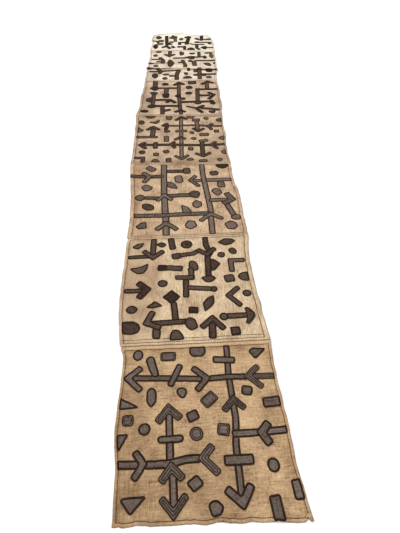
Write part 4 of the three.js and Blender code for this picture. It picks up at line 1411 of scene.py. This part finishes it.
def hem_tail():
    bm = bmesh.new()
    bmesh.ops.create_cone(bm, cap_ends=True, segments=14, radius1=TAIL["thick"] / 2000,
                          radius2=TAIL["thin"] / 2000, depth=TAIL["length"] / 1000)
    rims = [edge for edge in bm.edges if all(vert.co.z > 0 for vert in edge.verts)]
    rims += [edge for edge in bm.edges if all(vert.co.z < 0 for vert in edge.verts)]
    bmesh.ops.bevel(bm, geom=rims, offset=TAIL["rim"] / 1000, segments=3, affect="EDGES", material=-1)
    turn = math.radians(TAIL["turn"])
    middle = in_metres(*TAIL["at"], TAIL["lift"])
    for vert in bm.verts:
        side, down, run = vert.co.x, vert.co.y, vert.co.z
        vert.co = middle + Vector((side * math.cos(turn) + run * math.sin(turn),
                                   side * math.sin(turn) - run * math.cos(turn), down * TAIL["flat"]))
    bmesh.ops.recalc_face_normals(bm, faces=bm.faces)
    stain_and_painted_light_layer, hem_layer = point_layers(bm, "stain_and_painted_light", "hem")
    for vert in bm.verts:
        vert[stain_and_painted_light_layer] = 0
        vert[hem_layer] = TAIL["soil_and_shade"]
    map_cloth(bm, lambda vert: vert.co.xy)
    return finished_object("rolled_hem_tail", bm)


tail = hem_tail()
print("tail:", [round(size * 1000, 1) for size in tail.dimensions], "mm")

# %% [markdown]
# The finishes start from what raffia is: flat strips of palm leaf, matt and a little waxy, woven over
# and under without being spun, so each strip keeps its own width and colour. Colours are picked as
# sRGB hex and turned to linear by one function, and one function adds a node.

# %% Helpers for finishes
def linear(hex_colour):
    channels = [int(hex_colour[i:i + 2], 16) / 255 for i in (1, 3, 5)]
    straight = [c / 12.92 if c <= 0.04045 else ((c + 0.055) / 1.055) ** 2.4 for c in channels]
    return (*straight, 1)


def add_node(tree, kind, inputs=None, **settings):
    """Adds a node. Its inputs are values, or outputs of other nodes to link."""
    node = tree.nodes.new(kind)
    for name, value in settings.items():
        setattr(node, name, value)
    for name, value in (inputs or {}).items():
        if isinstance(value, bpy.types.NodeSocket):
            tree.links.new(value, node.inputs[name])
        else:
            node.inputs[name].default_value = value
    return node


def new_finish(name):
    """An empty material and its node tree."""
    finish = bpy.data.materials.new(name)
    finish.use_nodes = True
    finish.node_tree.nodes.clear()
    return finish, finish.node_tree


print("straw in linear light:", [round(c, 3) for c in linear("#cdb48c")])

# %% [markdown]
# Hand-woven raffia cloth: a plain weave of unspun leaf strips about 1.2 mm wide. The weave itself is
# finer than the picture can show, so it is drawn at 2.4 mm, and what shows from a step away is drawn
# at its real size: streaks where a strip is paler or darker, some 55 mm long in both directions,
# thick slubs, and slow clouds that lean to pink or to a mossy straw. No thread runs quite straight, so
# the places that the noises are read at wander by a few millimetres. Which way the streaks are
# stronger differs from panel to panel. The surface is matt, under a rough, fibrous skin.

# %% Weave the ground finish
WEAVE_MM = 2.4
STREAK_WIDE_MM = 4
STREAK_LONG_MM = 55
SLUB_WIDE_MM = 8
SLUB_LONG_MM = 34
CLOUD_MM = 110
BLUSH_MM = 34
FLECK_MM = 9
WANDER_MM = 3
WANDER_SIZE_MM = 45
STRENGTHS = {
    "a": {"warp": 0.7, "weft": 0.9},
    "b": {"warp": 1.5, "weft": 0.5},
    "c": {"warp": 1.6, "weft": 0.6},
    "d": {"warp": 1.4, "weft": 0.5},
    "e": {"warp": 1.2, "weft": 0.6},
    "f": {"warp": 1.0, "weft": 0.7},
    "g": {"warp": 0.8, "weft": 0.5},
}
GROUNDS = {
    "a": {"pale": "#dcbb90", "deep": "#7a5c40", "blush": "#b88c6e", "moss": "#b09468", "soil_and_shade": "#5d4029",
          "stain_and_painted_light": "#6f5033"},
    "b": {"pale": "#ead2ae", "deep": "#9a7f62", "blush": "#cba68c", "moss": "#bfb084", "soil_and_shade": "#745238",
          "stain_and_painted_light": "#8f6b4f"},
    "c": {"pale": "#e2c5a2", "deep": "#8c6f54", "blush": "#cb9f83", "moss": "#bba877", "soil_and_shade": "#6d4a33",
          "stain_and_painted_light": "#9a6c48"},
    "d": {"pale": "#dcc2a2", "deep": "#8a7058", "blush": "#c89c86", "moss": "#b0a67a", "soil_and_shade": "#5d4431",
          "stain_and_painted_light": "#7e6247"},
    "e": {"pale": "#e4cbae", "deep": "#886d56", "blush": "#dcae9c", "moss": "#c2ba8a", "soil_and_shade": "#6b4f3d",
          "stain_and_painted_light": "#7c6048"},
    "f": {"pale": "#fff1dc", "deep": "#a88e75", "blush": "#efcdb9", "moss": "#dcd6ab", "soil_and_shade": "#7a6048",
          "stain_and_painted_light": "#4c3820"},
    "g": {"pale": "#fffbe9", "deep": "#c2af90", "blush": "#fae4d2", "moss": "#e6e2ba", "soil_and_shade": "#a38a6a",
          "stain_and_painted_light": "#b29b76"},
}


def add_streaks(tree, place, wide_mm, long_mm, along):
    """Noise drawn out along one thread direction of the cloth."""
    wide, drawn = 1000 / wide_mm, 1000 / long_mm
    scale = (wide, drawn, 1) if along else (drawn, wide, 1)
    stretched = add_node(tree, "ShaderNodeVectorMath", {0: place, 1: scale}, operation="MULTIPLY")
    inputs = {"Vector": stretched.outputs[0], "Scale": 1.0, "Detail": 2.0}
    return add_node(tree, "ShaderNodeTexNoise", inputs).outputs["Fac"]


def add_weave(tree, place, pitch_mm):
    """The over and under of a plain weave, from 0 in the holes to 1 on the strips."""
    turns = 2 * math.pi * 1000 / pitch_mm
    phase = add_node(tree, "ShaderNodeVectorMath", {0: place, 1: (turns, turns, 0)}, operation="MULTIPLY")
    wave = add_node(tree, "ShaderNodeVectorMath", {0: phase.outputs[0]}, operation="SINE")
    parts = add_node(tree, "ShaderNodeSeparateXYZ", {0: wave.outputs[0]})
    inputs = {0: parts.outputs[0], 1: parts.outputs[1]}
    crossing = add_node(tree, "ShaderNodeMath", inputs, operation="MULTIPLY")
    inputs = {0: crossing.outputs[0], 1: 0.5, 2: 0.5}
    return add_node(tree, "ShaderNodeMath", inputs, operation="MULTIPLY_ADD").outputs[0]


def wandered(tree, place):
    """The places of a cloth, moved a little to and fro, as its threads wander."""
    inputs = {"Vector": place, "Scale": 1000 / WANDER_SIZE_MM, "Detail": 1.0}
    noises = add_node(tree, "ShaderNodeTexNoise", inputs).outputs["Color"]
    size = 2 * WANDER_MM / 1000
    inputs = {0: noises, 1: (size, size, 0), 2: place}
    return add_node(tree, "ShaderNodeVectorMath", inputs, operation="MULTIPLY_ADD").outputs[0]


def total_of(tree, *weighted):
    """The sum of sockets, each times its weight, less half of it, round 0.5."""
    total = 0.5
    for socket, weight in weighted:
        inputs = {0: socket, 1: weight, 2: -weight / 2}
        scaled = add_node(tree, "ShaderNodeMath", inputs, operation="MULTIPLY_ADD")
        total = add_node(tree, "ShaderNodeMath", {0: scaled.outputs[0], 1: total}).outputs[0]
    return total


def washed(tree, colour, *washes):
    """A colour under washes of others. Each wash is a colour, and the value that says where it lies.

    A wash may add the value at which it starts, the one at which it is full, and how far it then covers.
    """
    for wash, value, *reach in washes:
        if reach:
            start, full, most = reach
            inputs = {"Value": value, "From Min": start, "From Max": full, "To Max": most}
            value = add_node(tree, "ShaderNodeMapRange", inputs).outputs[0]
        colour = add_node(tree, "ShaderNodeMix", {0: value, 6: colour, 7: wash}, data_type="RGBA").outputs[2]
    return colour


def patchy(tree, amount, value, start, full, most):
    """An amount that comes and goes with a value, as dirt does with the strips it clings to. It breaks up the
    painted shade too.
    """
    inputs = {"Value": value, "From Min": start, "From Max": full, "To Max": most}
    share = add_node(tree, "ShaderNodeMapRange", inputs).outputs[0]
    inputs = {0: amount, 1: share}
    return add_node(tree, "ShaderNodeMath", inputs, operation="MULTIPLY", use_clamp=True).outputs[0]


def surfaced(tree, colour, relief, relief_mm, strength, roughness, sheen):
    """Ends a finish with its surface: a relief that catches the light, and a waxy or a dull skin.

    roughness is the value that it follows, then the roughness at the value's low and its high end.
    """
    inputs = {"Height": relief, "Strength": strength, "Distance": relief_mm / 1000}
    bump = add_node(tree, "ShaderNodeBump", inputs)
    value, low, high = roughness
    rough = add_node(tree, "ShaderNodeMapRange", {"Value": value, "To Min": low, "To Max": high})
    shader = add_node(tree, "ShaderNodeBsdfPrincipled", {
        "Base Color": colour, "Roughness": rough.outputs[0], "Normal": bump.outputs[0], **sheen})
    add_node(tree, "ShaderNodeOutputMaterial", {"Surface": shader.outputs[0]})


def woven_raffia(panel):
    """Undyed hand-woven raffia, matt and slightly waxy."""
    finish, tree = new_finish("hand_woven_raffia_" + panel)
    strength = STRENGTHS[panel]
    colours = {part: linear(colour) for part, colour in GROUNDS[panel].items()}
    place = wandered(tree, add_node(tree, "ShaderNodeUVMap", uv_map="cloth").outputs[0])
    warp = add_streaks(tree, place, STREAK_WIDE_MM, STREAK_LONG_MM, True)
    weft = add_streaks(tree, place, STREAK_WIDE_MM, STREAK_LONG_MM, False)
    slubs = add_streaks(tree, place, SLUB_WIDE_MM, SLUB_LONG_MM, strength["warp"] > strength["weft"])
    weave = add_weave(tree, place, WEAVE_MM)
    soft = {"Vector": place, "Detail": 3.0}
    clouds = add_node(tree, "ShaderNodeTexNoise", {**soft, "Scale": 1000 / CLOUD_MM}).outputs["Fac"]
    flecks = add_node(tree, "ShaderNodeTexNoise", {**soft, "Scale": 1000 / FLECK_MM}).outputs["Fac"]
    hue = add_node(tree, "ShaderNodeTexNoise", {
        "Vector": place, "Detail": 4.0, "Scale": 1000 / BLUSH_MM}).outputs["Fac"]
    stain_and_painted_light = add_node(tree, "ShaderNodeAttribute", attribute_name="stain_and_painted_light").outputs["Fac"]
    soil_and_shade = add_node(tree, "ShaderNodeAttribute", attribute_name="hem").outputs["Fac"]
    share = total_of(tree, (warp, strength["warp"]), (weft, strength["weft"]), (slubs, 0.7),
                     (clouds, 1.5), (flecks, 0.9), (weave, 0.2))
    colour = washed(
        tree, colours["deep"],
        (colours["pale"], share),
        (colours["blush"], hue, 0.52, 0.75, 0.8),
        (colours["moss"], hue, 0.46, 0.25, 0.6),
        # Bleaching and painted highlights: the pale wash lies where the depth is under nothing.
        (colours["pale"], stain_and_painted_light, 0.0, -1.0, 0.75),
        # Stains and painted shade: the stain colour also darkens the near flanks of the ridges and folds.
        (colours["stain_and_painted_light"], patchy(tree, stain_and_painted_light, warp, 0.3, 0.6, 1.5)),
        # Soil and painted shade: the soil colour darkens the hem's very edge and its stitched groove.
        (colours["soil_and_shade"], patchy(tree, soil_and_shade, flecks, 0.2, 0.7, 0.95)))
    relief = total_of(tree, (warp, 0.6), (weft, 0.6), (slubs, 0.5), (weave, 0.6))
    surfaced(tree, colour, relief, 0.8, 0.7, (warp, 0.75, 0.95), {"IOR": 1.45, "Specular IOR Level": 0.2})
    return finish


for panel in PANELS:
    panel_pieces[panel].data.materials.append(woven_raffia(panel))
tail.data.materials.append(panel_pieces["a"].data.materials[0])
print("ground finishes:", len(PANELS))

# %% [markdown]
# The dark patches are the same cloth, dyed with soot and mud and then pounded soft, which leaves it
# dull and uneven: grey where the dye has worn off the raised strips, olive or plum where it took badly.
# How strongly each piece took the dye, and which way it leans, are attributes of its own points.

# %% Dye the patches
DYES = {
    "a": {"worn": "#80736a", "full": "#35281d", "olive": "#5c5646", "plum": "#6d5858"},
    "b": {"worn": "#6c5a4f", "full": "#291c13", "olive": "#4c4233", "plum": "#563f3c"},
    "c": {"worn": "#908174", "full": "#31251b", "olive": "#5a523b", "plum": "#856a64"},
    "d": {"worn": "#8a7464", "full": "#302217", "olive": "#665430", "plum": "#77564f"},
    "e": {"worn": "#665245", "full": "#20160f", "olive": "#46391f", "plum": "#5c4140"},
    "f": {"worn": "#6f5c4a", "full": "#2a1d13", "olive": "#564823", "plum": "#674d45"},
    "g": {"worn": "#675d4c", "full": "#251b10", "olive": "#545028", "plum": "#5a4438"},
}


def dyed_raffia(panel):
    """Dyed and pounded raffia, dull, with worn strips."""
    finish, tree = new_finish("dyed_pounded_raffia_" + panel)
    colours = {part: linear(colour) for part, colour in DYES[panel].items()}
    place = wandered(tree, add_node(tree, "ShaderNodeUVMap", uv_map="cloth").outputs[0])
    warp = add_streaks(tree, place, STREAK_WIDE_MM, STREAK_LONG_MM, False)
    weft = add_streaks(tree, place, STREAK_WIDE_MM, SLUB_LONG_MM, True)
    weave = add_weave(tree, place, WEAVE_MM)
    flecks = add_node(tree, "ShaderNodeTexNoise", {
        "Vector": place, "Detail": 3.0, "Scale": 1000 / FLECK_MM}).outputs["Fac"]
    dye = add_node(tree, "ShaderNodeAttribute", attribute_name="dye").outputs["Fac"]
    tone = add_node(tree, "ShaderNodeAttribute", attribute_name="tone").outputs["Fac"]
    worn = total_of(tree, (warp, 1.2), (weft, 0.8), (flecks, 1.0), (weave, 0.3), (dye, -1.15))
    leaning = washed(tree, colours["worn"], (colours["olive"], tone, 0.45, 0.0, 0.7),
                     (colours["plum"], tone, 0.55, 1.0, 0.8))
    colour = washed(tree, colours["full"], (leaning, worn))
    relief = total_of(tree, (warp, 0.6), (weft, 0.5), (weave, 0.6))
    surfaced(tree, colour, relief, 0.8, 0.7, (warp, 0.78, 0.97), {"IOR": 1.45, "Specular IOR Level": 0.1})
    return finish


for panel in PANELS:
    patch_pieces[panel].data.materials.append(dyed_raffia(panel))
print("dyed finishes:", len(PANELS))

# %% [markdown]
# The thread is raffia again, split fine. The one round the patches is dyed almost black, keeps a trace
# of shine on top of each stitch and browns where it has rubbed. The hems and joins are sewn in a brown
# one, and the whipping is undyed, and darkened with age.

# %% Dye the thread
RUBBING_MM = 45
FIBRE_MM = 1.5


def split_thread(name, dark, rubbed):
    """Fine split raffia thread, waxy on top of each stitch."""
    finish, tree = new_finish(name)
    place = add_node(tree, "ShaderNodeTexCoord").outputs["Object"]
    inputs = {"Vector": place, "Detail": 3.0, "Scale": 1000 / RUBBING_MM}
    rubbing = add_node(tree, "ShaderNodeTexNoise", inputs).outputs["Fac"]
    inputs = {"Vector": place, "Detail": 2.0, "Scale": 1000 / FIBRE_MM}
    fibres = add_node(tree, "ShaderNodeTexNoise", inputs).outputs["Fac"]
    share = total_of(tree, (rubbing, 1.6), (fibres, 1.2))
    colour = washed(tree, linear(dark), (linear(rubbed), share))
    surfaced(tree, colour, fibres, 0.4, 0.5, (fibres, 0.65, 0.92), {"IOR": 1.5, "Specular IOR Level": 0.08})
    return finish


dark_finish = split_thread("dyed_split_raffia_thread", "#1a0d07", "#38261a")
brown_finish = split_thread("browned_split_raffia_thread", "#2a1708", "#5e4021")
undyed_finish = split_thread("undyed_split_raffia_thread", "#6b4f36", "#c4a176")
for panel in PANELS:
    thread_pieces[panel].data.materials.append(dark_finish)
    stitch_pieces[panel].data.materials.append(brown_finish)
    whipping_pieces[panel].data.materials.append(undyed_finish)
print("thread finishes:", dark_finish.name, brown_finish.name, undyed_finish.name)

# %% [markdown]
# Each fine piece now stands for the plain solids it follows: the woven panel for the panel's solid,
# and the joined patches for every patch solid of that panel. The flat size that each panel was cut to,
# hems turned out, is printed.

# %% Seat the pieces on the frame
for panel in PANELS:
    cloth, patches = panel_pieces[panel], patch_pieces[panel]
    sewing = [thread_pieces[panel], stitch_pieces[panel], whipping_pieces[panel]]
    if panel == PANELS[0]:
        sewing.append(tail)
    solids = [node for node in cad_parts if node.startswith("patch_" + panel)]
    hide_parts("panel_" + panel)
    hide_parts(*solids)
    for piece in (cloth, patches, *sewing):
        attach(piece, "root")
    left, right, near, far = HEMS[panel]
    flat = ((width_of(panel) + left + right) / 1000, (length_of(panel) + near + far) / 1000)
    print("panel", panel, "cut", [round(size, 3) for size in flat], "m, solids replaced:", len(solids) + 1)

# %% [markdown]
# The cloth is shown on a plain white floor under soft, even light, with a low broad sun from the far
# left that brings out the weave and the folds, and casts the short soft shadow at the near edges.

# %% Light the scene
FLOOR_SIZE = 30
FLOOR_DROP = 0.0004


def studio_floor():
    bm = bmesh.new()
    bmesh.ops.create_grid(bm, x_segments=1, y_segments=1, size=FLOOR_SIZE / 2)
    bmesh.ops.translate(bm, verts=bm.verts, vec=(0, 0, -FLOOR_DROP))
    floor = finished_object("pale_floor", bm)
    finish, tree = new_finish("matt_white_paint")
    shader = add_node(tree, "ShaderNodeBsdfPrincipled", {"Base Color": linear("#fafafa"), "Roughness": 0.9})
    add_node(tree, "ShaderNodeOutputMaterial", {"Surface": shader.outputs[0]})
    floor.data.materials.append(finish)
    return floor


def window_light(strength, softness, from_place):
    """A broad soft light that comes from one direction."""
    data = bpy.data.lights.new("window_light", "SUN")
    data.energy = strength
    data.angle = math.radians(softness)
    lamp = bpy.data.objects.new("window_light", data)
    lamp.rotation_euler = Vector(from_place).to_track_quat("Z", "Y").to_euler()
    bpy.context.scene.collection.objects.link(lamp)


studio_floor()
window_light(1.9, 24, (-0.62, 0.62, 0.6))
world = bpy.data.worlds.new("even_room_light")
world.use_nodes = True
world.node_tree.nodes["Background"].inputs["Color"].default_value = (1, 1, 1, 1)
world.node_tree.nodes["Background"].inputs["Strength"].default_value = 0.85
bpy.context.scene.world = world
bpy.context.scene.view_settings.view_transform = "Standard"
print("floor:", FLOOR_SIZE, "m")
